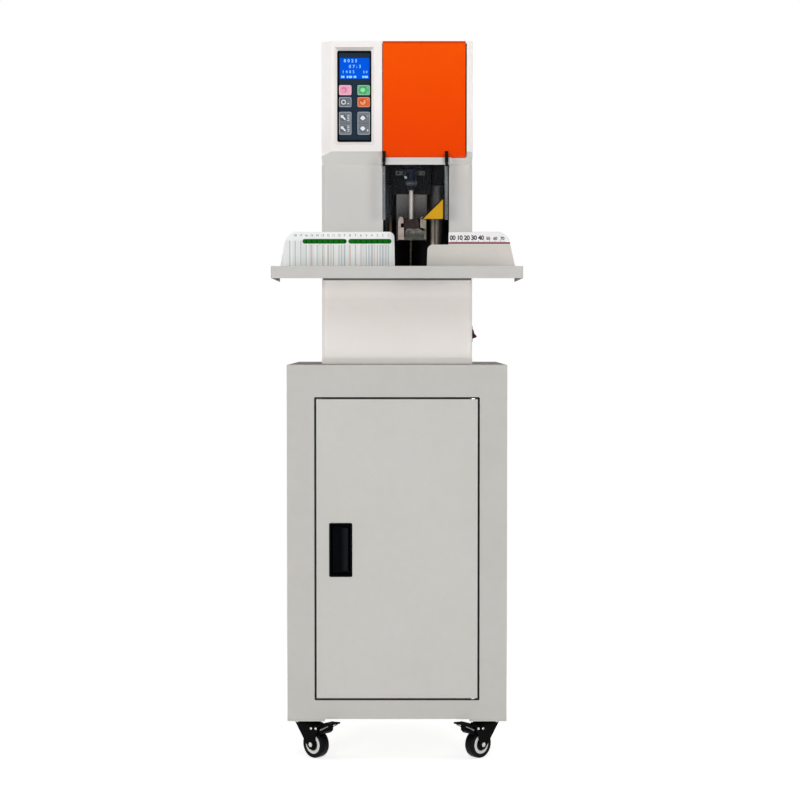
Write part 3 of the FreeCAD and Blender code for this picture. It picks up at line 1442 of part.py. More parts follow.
def press_foot():
    """Foot bracket round the drill: base with the drill hole and two side cheeks with cut corners."""
    low_z = table_top_z + foot_bottom_gap
    high_z = low_z + foot_height
    front_y = drill_y - foot_front_reach
    base = box((foot_left, foot_right), (front_y, slide_plate_front_y), (low_z, low_z + foot_base))
    spot = zone((foot_left - margin, foot_right + margin), (front_y - margin, front_y + margin),
                (low_z, low_z + foot_base))
    base = base.makeFillet(foot_corner_radius, edges_along(base, Z_AXIS, spot))
    cheeks = []
    for low_x in (foot_left, foot_right - foot_cheek):
        outline = [
            V(low_x, drill_y - foot_cheek_front, low_z),
            V(low_x, drill_y + foot_cheek_back, low_z),
            V(low_x, drill_y + foot_cheek_back, high_z - foot_cut),
            V(low_x, drill_y + foot_cheek_back - foot_cut, high_z),
            V(low_x, drill_y - foot_cheek_front + foot_cut, high_z),
            V(low_x, drill_y - foot_cheek_front, high_z - foot_cut),
        ]
        cheeks.append(prism(outline, V(foot_cheek, 0, 0)))
    hole = upright(foot_hole_radius, drill_x, drill_y, (low_z - margin, low_z + foot_base + margin))
    screw_z = low_z + foot_screw_rise
    screw_hole = rod(foot_screw_radius, V(foot_left - margin, drill_y, screw_z),
                     V(foot_right + margin, drill_y, screw_z))
    return join(base, *cheeks).cut([hole, screw_hole])


def foot_slide_plate():
    """Steel plate behind the foot that slides in the carriage block."""
    low_z = table_top_z + foot_bottom_gap
    return box((slide_plate_left, slide_plate_right), (slide_plate_front_y, slide_plate_back_y),
               (low_z + slide_plate_lift, low_z + slide_plate_height))


def lead_screw():
    """Lead screw from the lift motor through the carriage's nut to the top plate."""
    body = upright(screw_radius, drill_x, nut_y,
                   (anvil_bottom_z - lift_motor_drop, top_plate_z - screw_top_gap))
    end = upright(screw_end_radius, drill_x, nut_y,
                  (top_plate_z - 2 * screw_top_gap, top_plate_z + top_plate_thickness))
    return join(body, end)


def lift_motor():
    """Lift motor hung under the anvil on four short posts."""
    top_z = anvil_bottom_z - lift_motor_drop
    body = upright(lift_motor_radius, drill_x, nut_y, (top_z - lift_motor_height, top_z))
    circle = lift_motor_radius - lift_post_inset
    posts = []
    for angle in (45, 135, 225, 315):
        x = drill_x + circle * math.cos(math.radians(angle))
        y = nut_y + circle * math.sin(math.radians(angle))
        posts.append(upright(lift_post_radius, x, y, (top_z - margin, anvil_bottom_z)))
    return join(body, *posts)


def rivet_ram():
    """Ram rod with a heated collar and a rounded forming tip."""
    low_z = table_top_z + ram_bottom
    tip = upright(ram_tip_radius, rivet_x, drill_y, (low_z, low_z + ram_tip_length + margin))
    collar = upright(ram_collar_radius, rivet_x, drill_y, (low_z + ram_tip_length,
                                                           low_z + ram_tip_length + ram_collar_height))
    shank = upright(ram_radius, rivet_x, drill_y, (low_z + ram_tip_length, low_z + ram_length))
    return join(tip, collar, shank)


def rivet_actuator():
    """Actuator body under the top plate's nose; the ram slides through it."""
    half = actuator_half_width
    body = rounded_box((rivet_x - half, rivet_x + half), (drill_y - half, drill_y + half),
                       (top_plate_z - actuator_height, top_plate_z), actuator_corner)
    bore = upright(ram_radius + running_fit, rivet_x, drill_y,
                   (top_plate_z - actuator_height - margin, top_plate_z + margin))
    return body.cut(bore)


def insert(x, bore_radius):
    """Round insert in the anvil, its top just under the table's face; a die has a forming hollow."""
    body = upright(insert_radius, x, drill_y, (anvil_top_z - insert_seat, table_top_z - insert_drop))
    if bore_radius:
        body = body.cut(upright(bore_radius, x, drill_y, (table_top_z - die_hollow, table_top_z)))
    return body


def make_mechanism():
    parts["machine_frame"] = machine_frame()
    parts["guide_columns"] = guide_columns()
    parts["top_plate"] = top_plate()
    parts["carriage"] = carriage()
    parts["spindle"] = spindle()
    parts["drill_bit"] = drill_bit()
    parts["drill_motor"] = drill_motor()
    parts["press_foot"] = press_foot()
    parts["foot_slide_plate"] = foot_slide_plate()
    parts["lead_screw"] = lead_screw()
    parts["lift_motor"] = lift_motor()
    parts["rivet_ram"] = rivet_ram()
    parts["rivet_actuator"] = rivet_actuator()
    parts["drill_pad"] = insert(drill_x, 0)
    parts["rivet_die"] = insert(rivet_x, die_hollow_radius)


# ---------------------------------------------------------------- export

make_casters()
make_cabinet()
make_casing()
make_console()
make_power()
make_guard()
make_table()
make_mechanism()

os.makedirs("parts", exist_ok=True)
for name, shape in parts.items():
    if isinstance(shape, list):
        shape = Part.makeCompound(shape)
    if not shape.isValid():
        print("invalid:", name)
    print(name, len(shape.Solids), round(shape.Volume))
    shape.exportStep("parts/" + name + ".step")
print(len(parts), "nodes")
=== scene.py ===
import json
import math
import bmesh
import bpy
from mathutils import Matrix, Vector

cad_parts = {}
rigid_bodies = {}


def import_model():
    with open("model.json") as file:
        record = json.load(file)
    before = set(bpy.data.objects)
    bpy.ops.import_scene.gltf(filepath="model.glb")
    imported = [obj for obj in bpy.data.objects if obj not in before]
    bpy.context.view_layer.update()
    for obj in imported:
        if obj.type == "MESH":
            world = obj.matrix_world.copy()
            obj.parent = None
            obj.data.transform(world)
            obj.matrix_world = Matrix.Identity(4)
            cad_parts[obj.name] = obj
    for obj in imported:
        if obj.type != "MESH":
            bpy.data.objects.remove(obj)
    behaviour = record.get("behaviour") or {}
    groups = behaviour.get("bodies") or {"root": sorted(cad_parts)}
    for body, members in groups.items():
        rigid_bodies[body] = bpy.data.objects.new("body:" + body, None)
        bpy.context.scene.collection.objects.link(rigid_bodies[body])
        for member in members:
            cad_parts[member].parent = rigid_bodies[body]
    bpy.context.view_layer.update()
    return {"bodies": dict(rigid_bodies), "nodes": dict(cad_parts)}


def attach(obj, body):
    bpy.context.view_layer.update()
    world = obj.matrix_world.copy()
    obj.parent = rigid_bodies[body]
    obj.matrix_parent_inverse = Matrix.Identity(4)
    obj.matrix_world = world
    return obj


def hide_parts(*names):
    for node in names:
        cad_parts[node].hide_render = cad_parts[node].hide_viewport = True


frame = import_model()

# ---------------------------------------------------------------- caster plates and their bolts
# Four pressed steel plates in black paint, each with the king pin that its fork turns on.
# Button-head bolts in bright zinc hold each plate to its corner pad under the cabinet.

mm = 0.001
up = Vector((0, 0, 1))


def linear(r, g, b):
    """Paint colour from 0-255 screen values."""
    def channel(v):
        v /= 255
        return v / 12.92 if v <= 0.04045 else ((v + 0.055) / 1.055) ** 2.4
    return (channel(r), channel(g), channel(b), 1.0)


def darker(colour, share):
    """A share of a linear colour."""
    return tuple(c * share for c in colour[:3]) + (1.0,)


def feed(tree, node, inputs):
    """Gives a node's inputs, by name or number, a value or the output of another node."""
    for label, value in inputs.items():
        if isinstance(value, bpy.types.NodeSocket):
            tree.links.new(value, node.inputs[label])
        else:
            node.inputs[label].default_value = value


def wired(tree, kind, inputs, **settings):
    """A new shader node with its settings and inputs."""
    node = tree.nodes.new("ShaderNode" + kind)
    for setting, value in settings.items():
        setattr(node, setting, value)
    feed(tree, node, inputs)
    return node


def maths(tree, operation, a, b=None, clamp=False):
    """A Math node on sockets or numbers."""
    inputs = {0: a} if b is None else {0: a, 1: b}
    return wired(tree, "Math", inputs, operation=operation, use_clamp=clamp).outputs[0]


def blend_colour(tree, mask, a, b):
    """Colour a where the mask is 0, colour b where it is 1."""
    return wired(tree, "Mix", {0: mask, 6: a, 7: b}, data_type="RGBA").outputs[2]


def spread(tree, value, low, high, to_low=0.0, to_high=1.0):
    """Map Range, clamped."""
    span = {"Value": value, "From Min": low, "From Max": high, "To Min": to_low, "To Max": to_high}
    return wired(tree, "MapRange", span).outputs[0]


def own_point(tree):
    """Each point's place on its piece."""
    return wired(tree, "TexCoord", {}).outputs["Object"]


def noise_over(tree, point, scale, detail, roughness=0.5):
    """Noise that stays with the piece."""
    inputs = {"Vector": point, "Scale": scale, "Detail": detail, "Roughness": roughness}
    return wired(tree, "TexNoise", inputs).outputs[0]


def effect(name, inputs, outputs):
    """An empty effect group with its sockets, where a tuple stands for a vector."""
    group = bpy.data.node_groups.new(name, "ShaderNodeTree")
    for label, value in inputs.items():
        kind = "NodeSocketVector" if isinstance(value, tuple) else "NodeSocketFloat"
        group.interface.new_socket(label, in_out="INPUT", socket_type=kind).default_value = value
    for label in outputs:
        group.interface.new_socket(label, in_out="OUTPUT", socket_type="NodeSocketFloat")
    return group, group.nodes.new("NodeGroupInput").outputs, group.nodes.new("NodeGroupOutput")


# Surface grain: fine height for the bump and a slower tone for colour and gloss.
grain_group, given, result = effect(
    "surface_grain", {"Size": 900.0, "Streak": (1.0, 1.0, 1.0)}, ["Height", "Tone"])
stretched = wired(
    grain_group, "VectorMath", {0: own_point(grain_group), 1: given["Streak"]}, operation="MULTIPLY")
for label, share, detail in (("Height", 1.0, 3.0), ("Tone", 0.06, 4.0)):
    scale = maths(grain_group, "MULTIPLY", given["Size"], share)
    feed(grain_group, result, {label: noise_over(grain_group, stretched.outputs[0], scale, detail, 0.6)})

# Worn edges: a mask along the outside corners, broken up by noise.
edge_group, given, result = effect("worn_edges", {"Reach": 0.001, "Amount": 0.5}, ["Mask"])
rounding = wired(edge_group, "Bevel", {"Radius": given["Reach"]}, samples=4)
facing = wired(edge_group, "NewGeometry", {})
turn = wired(
    edge_group, "VectorMath", {0: rounding.outputs[0], 1: facing.outputs["Normal"]}, operation="DOT_PRODUCT")
corner = spread(edge_group, turn.outputs["Value"], 0.99, 0.75)
broken = spread(edge_group, noise_over(edge_group, own_point(edge_group), 180.0, 4.0), 0.38, 0.62)
worn_corner = maths(edge_group, "MULTIPLY", corner, broken)
feed(edge_group, result, {"Mask": maths(edge_group, "MULTIPLY", worn_corner, given["Amount"])})

# Handling and dust: slow blotches all over, and dust on what faces up.
soil_group, given, result = effect(
    "handling_and_dust", {"Patch": 14.0, "Amount": 0.3, "Dust": 0.1}, ["Soil", "Dust"])
blotches = noise_over(soil_group, own_point(soil_group), given["Patch"], 6.0, 0.55)
facing = wired(soil_group, "NewGeometry", {})
axes = wired(soil_group, "SeparateXYZ", {0: facing.outputs["Normal"]})
upward = spread(soil_group, axes.outputs["Z"], 0.7, 1.0)
settled = maths(soil_group, "MULTIPLY", upward, spread(soil_group, blotches, 0.3, 0.6))
feed(soil_group, result, {
    "Soil": maths(soil_group, "MULTIPLY", spread(soil_group, blotches, 0.42, 0.72), given["Amount"]),
    "Dust": maths(soil_group, "MULTIPLY", settled, given["Dust"])})


def finish(name, colour, rough, worn=None, dirt=None, metal=0.0, grain=900, streak=(1, 1, 1), bump=20,
           soil=0.25, dust=0.0, reach=0.8, wear=0.5, patch=14, shine=0.5, tone=0.06, tone_range=(0.0, 1.0),
           bands=()):
    """A finish with its grain, handling, dust and worn edges, in colours of 0-255.

    worn shows at rubbed corners, over a width of reach in millimetres, and dirt in the blotches. grain and
    patch are so many to a metre, and bump is the grain's depth in thousandths of a millimetre. Each band,
    such as a painted highlight along a column or painted shade towards one end of a piece, is (axis, centre,
    half width where it is full, half width where it has faded out, colour), in millimetres."""
    material = bpy.data.materials.new(name)
    material.use_nodes = True
    tree = material.node_tree
    texture = wired(tree, "Group", {}, node_tree=grain_group)
    feed(tree, texture, {"Size": grain, "Streak": streak})
    edges = wired(tree, "Group", {}, node_tree=edge_group)
    feed(tree, edges, {"Reach": reach * mm, "Amount": wear if worn else 0.0})
    soiling = wired(tree, "Group", {}, node_tree=soil_group)
    feed(tree, soiling, {"Patch": patch, "Amount": soil, "Dust": dust})
    base = linear(*colour)
    toned = blend_colour(
        tree, spread(tree, texture.outputs["Tone"], *tone_range), base, darker(base, 1 - tone))
    for axis, centre, full, faded, over in bands:
        axes = wired(tree, "SeparateXYZ", {0: own_point(tree)})
        away = maths(tree, "ABSOLUTE", maths(tree, "SUBTRACT", axes.outputs[axis], centre * mm))
        toned = blend_colour(tree, spread(tree, away, full * mm, faded * mm, 1.0, 0.0), toned, linear(*over))
    handled = blend_colour(
        tree, soiling.outputs["Soil"], toned, linear(*dirt) if dirt else darker(base, 0.86))
    dusty = blend_colour(tree, soiling.outputs["Dust"], handled, linear(186, 183, 178))
    rubbed = blend_colour(tree, edges.outputs["Mask"], dusty, linear(*(worn or colour)))
    gloss = spread(tree, texture.outputs["Tone"], 0.3, 0.7, rough - 0.05, rough + 0.05)
    dulled = maths(tree, "MULTIPLY", soiling.outputs["Soil"], 0.12)
    relief = wired(tree, "Bump", {"Distance": bump * mm / 1000, "Height": texture.outputs["Height"]})
    feed(tree, tree.nodes["Principled BSDF"], {
        "Base Color": rubbed, "Roughness": maths(tree, "ADD", gloss, dulled, clamp=True), "Metallic": metal,
        "Specular IOR Level": shine, "Normal": relief.outputs[0]})
    return material


def dress(material, *nodes):
    """Gives CAD pieces their finish."""
    for node in nodes:
        for slot in frame["nodes"][node].material_slots:
            slot.material = material


def gather(*meshes):
    """Several bmeshes as one."""
    whole = bmesh.new()
    for bm in meshes:
        mesh = bpy.data.meshes.new("part")
        bm.to_mesh(mesh)
        bm.free()
        whole.from_mesh(mesh)
        bpy.data.meshes.remove(mesh)
    return whole


def place(name, shape, material, body, smooth=35):
    """A bmesh, or a list of them, becomes a piece that rides its body, shaded evenly over its flat faces."""
    bm = gather(*shape) if isinstance(shape, list) else shape
    mesh = bpy.data.meshes.new(name)
    bm.to_mesh(mesh)
    bm.free()
    mesh.shade_smooth()
    mesh.set_sharp_from_angle(angle=math.radians(smooth))
    for paint in material if isinstance(material, tuple) else (material,):
        mesh.materials.append(paint)
    piece = bpy.data.objects.new(name, mesh)
    bpy.context.collection.objects.link(piece)
    shading = piece.modifiers.new("even_shading", "WEIGHTED_NORMAL")
    shading.keep_sharp = True
    shading.weight = 80
    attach(piece, body)
    return piece


def outlined(bm, profile):
    """The vertices and edges of a line of (radius, height) pairs in millimetres."""
    verts = [bm.verts.new((r * mm, 0, h * mm)) for r, h in profile]
    return verts + [bm.edges.new(pair) for pair in zip(verts, verts[1:])]


def lathe(profile, centre, axis=up, steps=40):
    """Turned shape: (radius, height) pairs in millimetres round an axis through the centre."""
    bm = bmesh.new()
    bmesh.ops.spin(bm, geom=outlined(bm, profile), cent=(0, 0, 0), axis=(0, 0, 1), angle=2 * math.pi,
                   steps=steps, use_merge=True, use_duplicate=False)
    bmesh.ops.remove_doubles(bm, verts=bm.verts, dist=1e-6)
    bmesh.ops.recalc_face_normals(bm, faces=bm.faces)
    turn = up.rotation_difference(Vector(axis)).to_matrix().to_4x4()
    bmesh.ops.transform(bm, matrix=Matrix.Translation(Vector(centre) * mm) @ turn, verts=bm.verts)
    return bm


def button_head(centre, direction, radius=3.0, height=1.8):
    """Button screw head with a round socket, standing on its centre along the direction."""
    r, h = radius, height
    return lathe([(0, 0), (r, 0), (r, h * 0.25), (r * 0.92, h * 0.6), (r * 0.72, h * 0.9), (r * 0.5, h),
                  (r * 0.45, h * 0.94), (r * 0.45, h * 0.35), (0, h * 0.3)], centre, direction, steps=20)


caster_black = finish(
    "caster_black_paint", (3, 3, 4), 0.36, worn=(46, 45, 44), dirt=(9, 8, 8), grain=1400, soil=0.3,
    dust=0.01, wear=0.3, shine=0.03)
bright_zinc = finish(
    "bright_zinc", (206, 206, 202), 0.3, worn=(228, 228, 225), dirt=(130, 122, 112), metal=1.0, grain=1500,
    soil=0.35, dust=0.05, wear=0.3)
casters = {"fl": (-158.5, -148.5, -42.2), "fr": (158.5, -148.5, 222.2),
           "rl": (-158.5, 178.5, 38.0), "rr": (158.5, 178.5, 142.0)}
PLATE_LOW = 67.3
BOLT_SPREAD = 19.6
dress(caster_black, "caster_plates")
bolts = [button_head((x + sx * BOLT_SPREAD, y + sy * BOLT_SPREAD, PLATE_LOW), (0, 0, -1), 3.2, 1.9)
         for x, y, angle in casters.values() for sx in (-1, 1) for sy in (-1, 1)]
place("caster_bolts", bolts, bright_zinc, "stand")

# ---------------------------------------------------------------- caster forks
# Pressed steel forks in the same black paint, with a rolled ball race on top of the bridge. The front
# pair, which carries the brakes, has a broader leg with a shoulder for the pedal's pivot.

LEG_IN, LEG_OUT = 10.5, 13.0
BRIDGE_LOW, BRIDGE_TOP = 59.5, 62.0


def pushed(bm, faces, run):
    """Extrudes faces along a vector and turns every face outwards."""
    raised = bmesh.ops.extrude_face_region(bm, geom=faces)["geom"]
    bmesh.ops.translate(bm, vec=run, verts=[g for g in raised if isinstance(g, bmesh.types.BMVert)])
    bmesh.ops.recalc_face_normals(bm, faces=bm.faces)


def rounded(bm, edges, radius, segments):
    """Bevels edges by a width in millimetres."""
    bmesh.ops.bevel(bm, geom=edges, offset=radius * mm, offset_type="OFFSET", affect="EDGES",
                    segments=segments, profile=0.5, clamp_overlap=True, material=-1)


def along(edge, run):
    """How far an edge points along a direction: 1 for all the way, 0 for across it."""
    return abs((edge.verts[0].co - edge.verts[1].co).normalized().dot(run))


def slab(outline, low, high, axis="y", corner=0.0, edge=0.0, segments=4, rounds=None):
    """Flat piece: an outline in millimetres pushed from low to high along an axis.

    corner rounds its corners, or only those at the points in rounds, and edge rounds its rims."""
    bm = bmesh.new()
    spot = {"x": lambda a, b: (low, a, b), "y": lambda a, b: (a, low, b), "z": lambda a, b: (a, b, low)}[axis]
    run = Vector({"x": (1, 0, 0), "y": (0, 1, 0), "z": (0, 0, 1)}[axis])
    face = bm.faces.new([bm.verts.new(Vector(spot(a, b)) * mm) for a, b in outline])
    pushed(bm, [face], run * (high - low) * mm)
    if corner:
        sides = [e for e in bm.edges if along(e, run) > 0.99]
        if rounds is not None:
            keep = [Vector(spot(a, b)) * mm for a, b in rounds]
            sides = [e for e in sides if any((v.co - k).length < 1e-5 for k in keep for v in e.verts)]
        rounded(bm, sides, corner, segments)
    if edge:
        rim = [e for e in bm.edges if along(e, run) < 0.01 and len(e.link_faces) == 2
               and e.calc_face_angle() > 1.0]
        rounded(bm, rim, edge, 2)
    return bm


def oblong(a, b):
    """Outline of a rectangle between two pairs."""
    return [(a[0], b[0]), (a[1], b[0]), (a[1], b[1]), (a[0], b[1])]


def turned_to(bm, caster):
    """Moves a mesh made with its trail along +X at the origin to its caster."""
    x, y, angle = casters[caster]
    turn = Matrix.Rotation(math.radians(angle), 4, "Z")
    bmesh.ops.transform(bm, matrix=Matrix.Translation((x * mm, y * mm, 0)) @ turn, verts=bm.verts)
    return bm


for caster in casters:
    toe = [(27, 24), (22.5, 15.8), (13.5, 15.8), (7.4, 22.6), (-15.5, 52)]
    shoulder = [(24.6, 58.5), (34.5, 57.5), (34.5, 50.0), (27.5, 40)] if caster[0] == "f" else [(27, 45)]
    leg = [(-23.4, BRIDGE_TOP), (24, BRIDGE_TOP)] + shoulder + toe
    race = lathe([(4.1, BRIDGE_TOP), (21, BRIDGE_TOP), (21, 63.2), (20.2, 64.2), (20.2, 64.9), (21, 65.7),
                  (20.6, 66.9), (4.1, 66.9), (4.1, BRIDGE_TOP)], (0, 0, 0), steps=56)
    bridge = slab(oblong((-20.5, 23.5), (-LEG_OUT, LEG_OUT)), BRIDGE_LOW, BRIDGE_TOP, "z", 1.5, 0.5)
    legs = [slab(leg, side * LEG_IN, side * LEG_OUT, "y", 3.0, 0.6, rounds=leg[3:-1]) for side in (-1, 1)]
    fork = place("fork_" + caster, turned_to(gather(race, bridge, *legs), caster), caster_black,
                 "caster_" + caster)
    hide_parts("caster_fork_" + caster)

# ---------------------------------------------------------------- caster wheels and axles
# A black polyurethane tyre is cast on a pale nylon rim round a black hub. A zinc bolt with a hexagon
# head and nut carries it between the fork's legs.

tyre_black = finish(
    "tyre_polyurethane", (5, 6, 9), 0.36, worn=(28, 29, 35), dirt=(12, 12, 14), grain=700, bump=30,
    soil=0.4, dust=0.02, reach=1.5, wear=0.35, shine=0.07)
rim_nylon = finish("rim_nylon", (232, 230, 228), 0.45, dirt=(176, 171, 166), grain=1200, soil=0.35, dust=0.06)
hub_black = finish("hub_nylon", (10, 10, 12), 0.45, grain=1200, soil=0.3, dust=0.05, shine=0.12)
TRAIL, AXLE_HEIGHT = 18.0, 25.0
AXLE, HEXAGON = 3.0, 4.6
across = (0, 1, 0)


def round_points(centre, radius, start, end, step):
    """Points of an arc about a centre, from one angle to another in degrees."""
    return [(centre[0] + radius * math.cos(math.radians(a)), centre[1] + radius * math.sin(math.radians(a)))
            for a in range(start, end, step)]


for caster in casters:
    centre = (TRAIL, 0, AXLE_HEIGHT)
    tyre = lathe([(17.2, -8.6), (21.6, -9.5), (23.9, -8.7), (24.8, -6.6), (25, -3), (25, 3), (24.8, 6.6),
                  (23.9, 8.7), (21.6, 9.5), (17.2, 8.6), (17.2, -8.6)], centre, across, 64)
    rim = lathe([(11.4, -8.4), (12.0, -9.3), (16.4, -9.3), (17.3, -8.4), (17.3, 8.4), (16.4, 9.3),
                 (12.0, 9.3), (11.4, 8.4), (11.4, -8.4)], centre, across, 56)
    hub = lathe([(3.1, -10), (7.4, -10), (8.4, -9.0), (11.5, -8.3), (11.5, 8.3), (8.4, 9.0), (7.4, 10),
                 (3.1, 10), (3.1, -10)], centre, across, 48)
    wheel = place("tyre_" + caster, turned_to(tyre, caster), tyre_black, "wheel_" + caster)
    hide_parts("caster_wheel_" + caster)
    place("rim_" + caster, turned_to(rim, caster), rim_nylon, "wheel_" + caster)
    place("hub_" + caster, turned_to(hub, caster), hub_black, "wheel_" + caster)
    shank = [lathe([(0, -LEG_OUT), (AXLE, -LEG_OUT), (AXLE, LEG_OUT), (0, LEG_OUT)], centre, across, 24)]
    hexagon = round_points((TRAIL, AXLE_HEIGHT), HEXAGON, 0, 360, 60)
    for side in (-1, 1):
        shank.append(slab(hexagon, side * LEG_OUT, side * (LEG_OUT + 2.0), "y", edge=0.5))
        shank.append(lathe([(0, 0), (AXLE, 0), (AXLE, 2.2), (2.5, 2.5), (0, 2.5)],
                           (TRAIL, side * LEG_OUT, AXLE_HEIGHT), (0, side, 0), 24))
    axle = place(
        "axle_" + caster, turned_to(gather(*shank), caster), bright_zinc, "caster_" + caster)
    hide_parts("caster_axle_" + caster)

# ---------------------------------------------------------------- brake pedals
# Black pressed treads with raised ribs, each pivoted on its fork by two bright rivets. A brake shoe
# hangs under the tread and a grey spring strip runs up each side of it.

SHARP = 35


def body_of(node):
    """Name of the body that carries a CAD node."""
    return next(name for name, empty in frame["bodies"].items() if frame["nodes"][node].parent == empty)


def sliced(bm, point, normal, clear=False):
    """Divides a bmesh by a plane, or clears what lies on the side that the plane's normal points to."""
    bmesh.ops.bisect_plane(bm, geom=bm.verts[:] + bm.edges[:] + bm.faces[:], plane_co=Vector(point) * mm,
                           plane_no=normal, clear_outer=clear)


def eased(node, radius, material, segments=2, other=None, where=None, cut=None, trim=()):
    """A CAD piece with its corners eased by a radius in millimetres, in place of the sharp one.

    The faces that where picks take the other material; cut divides the faces at a height first. What lies
    left of the line trim, going from point to point in x and z, is cut away."""
    bm = bmesh.new()
    bm.from_mesh(frame["nodes"][node].data)
    bmesh.ops.remove_doubles(bm, verts=bm.verts, dist=2e-6)
    for (x, z), (to_x, to_z) in zip(trim, trim[1:]):
        sliced(bm, (x, 0, z), (z - to_z, 0, to_x - x), clear=True)
        bmesh.ops.holes_fill(bm, edges=[e for e in bm.edges if e.is_boundary])
    if trim:
        bmesh.ops.recalc_face_normals(bm, faces=bm.faces)
    bmesh.ops.dissolve_limit(bm, angle_limit=math.radians(0.5), verts=bm.verts, edges=bm.edges)
    corners = [e for e in bm.edges if len(e.link_faces) == 2 and e.calc_face_angle() > math.radians(SHARP)]
    rounded(bm, corners, radius, segments)
    if cut:
        sliced(bm, (0, 0, cut), up)
    for face in bm.faces:
        face.material_index = int(bool(where) and where(face.calc_center_median() / mm, face.normal))
    piece = place(node + "_eased", bm, (material, other) if other else material, body_of(node))
    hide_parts(node)
    return piece


strip_grey = finish("spring_strip", (128, 130, 133), 0.35, metal=1.0, grain=1500, soil=0.3, dust=0.05)
TREAD_START, TREAD_TOP, TREAD_SLOPE = 46, 67.0, 1.8 / 21
for caster in ("fl", "fr"):
    eased("brake_pedal_" + caster, 0.6, caster_black)
    tread = []
    for u in (49, 53, 57, 61):
        z = TREAD_TOP + (u - TREAD_START) * TREAD_SLOPE
        tread.append(slab([(u - 1.0, z - 0.6), (u + 1.0, z - 0.4), (u + 0.6, z + 0.6), (u - 0.6, z + 0.5)],
                          -9, 9, "y", edge=0.2))
    tread.append(
        slab([(38.5, 59.4), (46.5, 64.3), (50.0, 64.6), (50.0, 52), (44, 46.5), (39.5, 46), (38, 50.5)],
             -11.6, 11.6, "y", 2.0, 0.6, rounds=[(50.0, 52), (44, 46.5), (39.5, 46), (38, 50.5)]))
    place("pedal_shoe_" + caster, turned_to(gather(*tread), caster), caster_black, "pedal_" + caster)
    strips = [slab([(39, 54.5), (41, 53.0), (60, 62.6), (60, 64.0)], side * 11.7, side * 12.4, "y", 0.6, 0.2)
              for side in (-1, 1)]
    place("pedal_strip_" + caster, turned_to(gather(*strips), caster), strip_grey, "pedal_" + caster)
    rivets = [button_head((u, side * 15.0, z), (0, side, 0), 2.6, 1.6)
              for u, z in ((20.5, 55.0), (32.0, 56.3)) for side in (-1, 1)]
    place("pedal_rivets_" + caster, turned_to(gather(*rivets), caster), bright_zinc, "pedal_" + caster)

# ---------------------------------------------------------------- cabinet
# Folded sheet steel in light grey powder coat with a fine texture. Its floor carries the caster pads,
# and the back is a separate sheet held by pan-head screws.

powder_coat = dict(grain=1100, bump=40, reach=1.2, wear=0.45)
cabinet_grey = finish(
    "cabinet_powder_coat", (195, 193, 188), 0.5, worn=(216, 214, 210), dirt=(182, 179, 172), soil=0.3,
    dust=0.1, patch=6, **powder_coat)
# The top's coat is painted darker as painted shade under the table, with a painted highlight over its front
# strip.
top_painted_shade_coat = finish(
    "cabinet_top_painted_shade", (172, 170, 166), 0.7, worn=(196, 194, 190), dirt=(150, 148, 143), soil=0.35,
    patch=6, shine=0.0, bands=[("Y", -185.0, 60.0, 120.0, (224, 222, 218))], **powder_coat)
CABINET_TOP = 703.8
eased("cabinet_shell", 0.9, cabinet_grey, other=top_painted_shade_coat,
      where=lambda at, n: n.z > 0.9 and at.z > CABINET_TOP - 1)
eased("cabinet_floor", 0.8, cabinet_grey)
dress(cabinet_grey, "cabinet_back")


def ring(outline, low, high, width, corner, axis="y"):
    """Flat ring: a slab with a rounded outline and its middle taken out, leaving a rim of one width."""
    bm = slab(outline, low, high, axis, corner, segments=5)
    run = "xyz".index(axis)
    inner = [pick(bm.faces, key=lambda f: f.calc_center_median()[run]) for pick in (min, max)]
    for face in inner:
        bmesh.ops.inset_region(bm, faces=[face], thickness=width * mm, use_even_offset=True)
    rims = [e for f in inner for e in f.edges]
    bmesh.ops.delete(bm, geom=inner, context="FACES_ONLY")
    bmesh.ops.bridge_loops(bm, edges=rims)
    bmesh.ops.recalc_face_normals(bm, faces=bm.faces)
    return bm


# A near-black rubber ring round the door opening widens the dark gap line: painted shadow, a dark strip put
# where the gap's shade falls.
gap_shadow_rubber = finish("door_gap_painted_shadow", (22, 22, 21), 0.6, soil=0.3, dust=0.03, shine=0.1)
GAP_SHADOW_FRONT, GAP_SHADOW_BACK, GAP_SHADOW_WIDTH = -185.35, -184.4, 2.0
trim = ring(oblong((-146.4, 146.4), (107.8, 646.9)), GAP_SHADOW_FRONT, GAP_SHADOW_BACK, GAP_SHADOW_WIDTH, 2.0)
place("door_gap_shadow_ring", trim, gap_shadow_rubber, "stand")
BACK_FACE = 215.0
back_screws = [button_head((x, BACK_FACE, z), (0, 1, 0), 3.2, 1.2)
               for x in (-188, 0, 188) for z in (82, 235, 389, 542, 696) if x or z in (82, 389, 696)]
place("cabinet_back_screws", back_screws, bright_zinc, "stand")

# ---------------------------------------------------------------- cabinet door, pull and catch
# A door tray folded from the same sheet, a shade lighter, on two pins. Its pull is a moulded black cup
# set into the sheet, and a strip magnet on the frame holds it shut.

door_grey = finish(
    "door_powder_coat", (201, 200, 195), 0.5, worn=(220, 219, 215), dirt=(188, 185, 178), soil=0.3,
    dust=0.08, patch=5, **powder_coat)
eased("cabinet_door", 0.5, door_grey)
pull_black = finish(
    "pull_plastic", (3, 4, 6), 0.3, worn=(24, 25, 28), dirt=(12, 13, 14), grain=1300, reach=1.0, wear=0.25,
    shine=0.02)
PULL_X, PULL_Y, PULL_Z = -99.8, -185.0, 375.85
GRIP_LEFT, GRIP_RIGHT, GRIP_HALF = -2.0, 13.2, 38
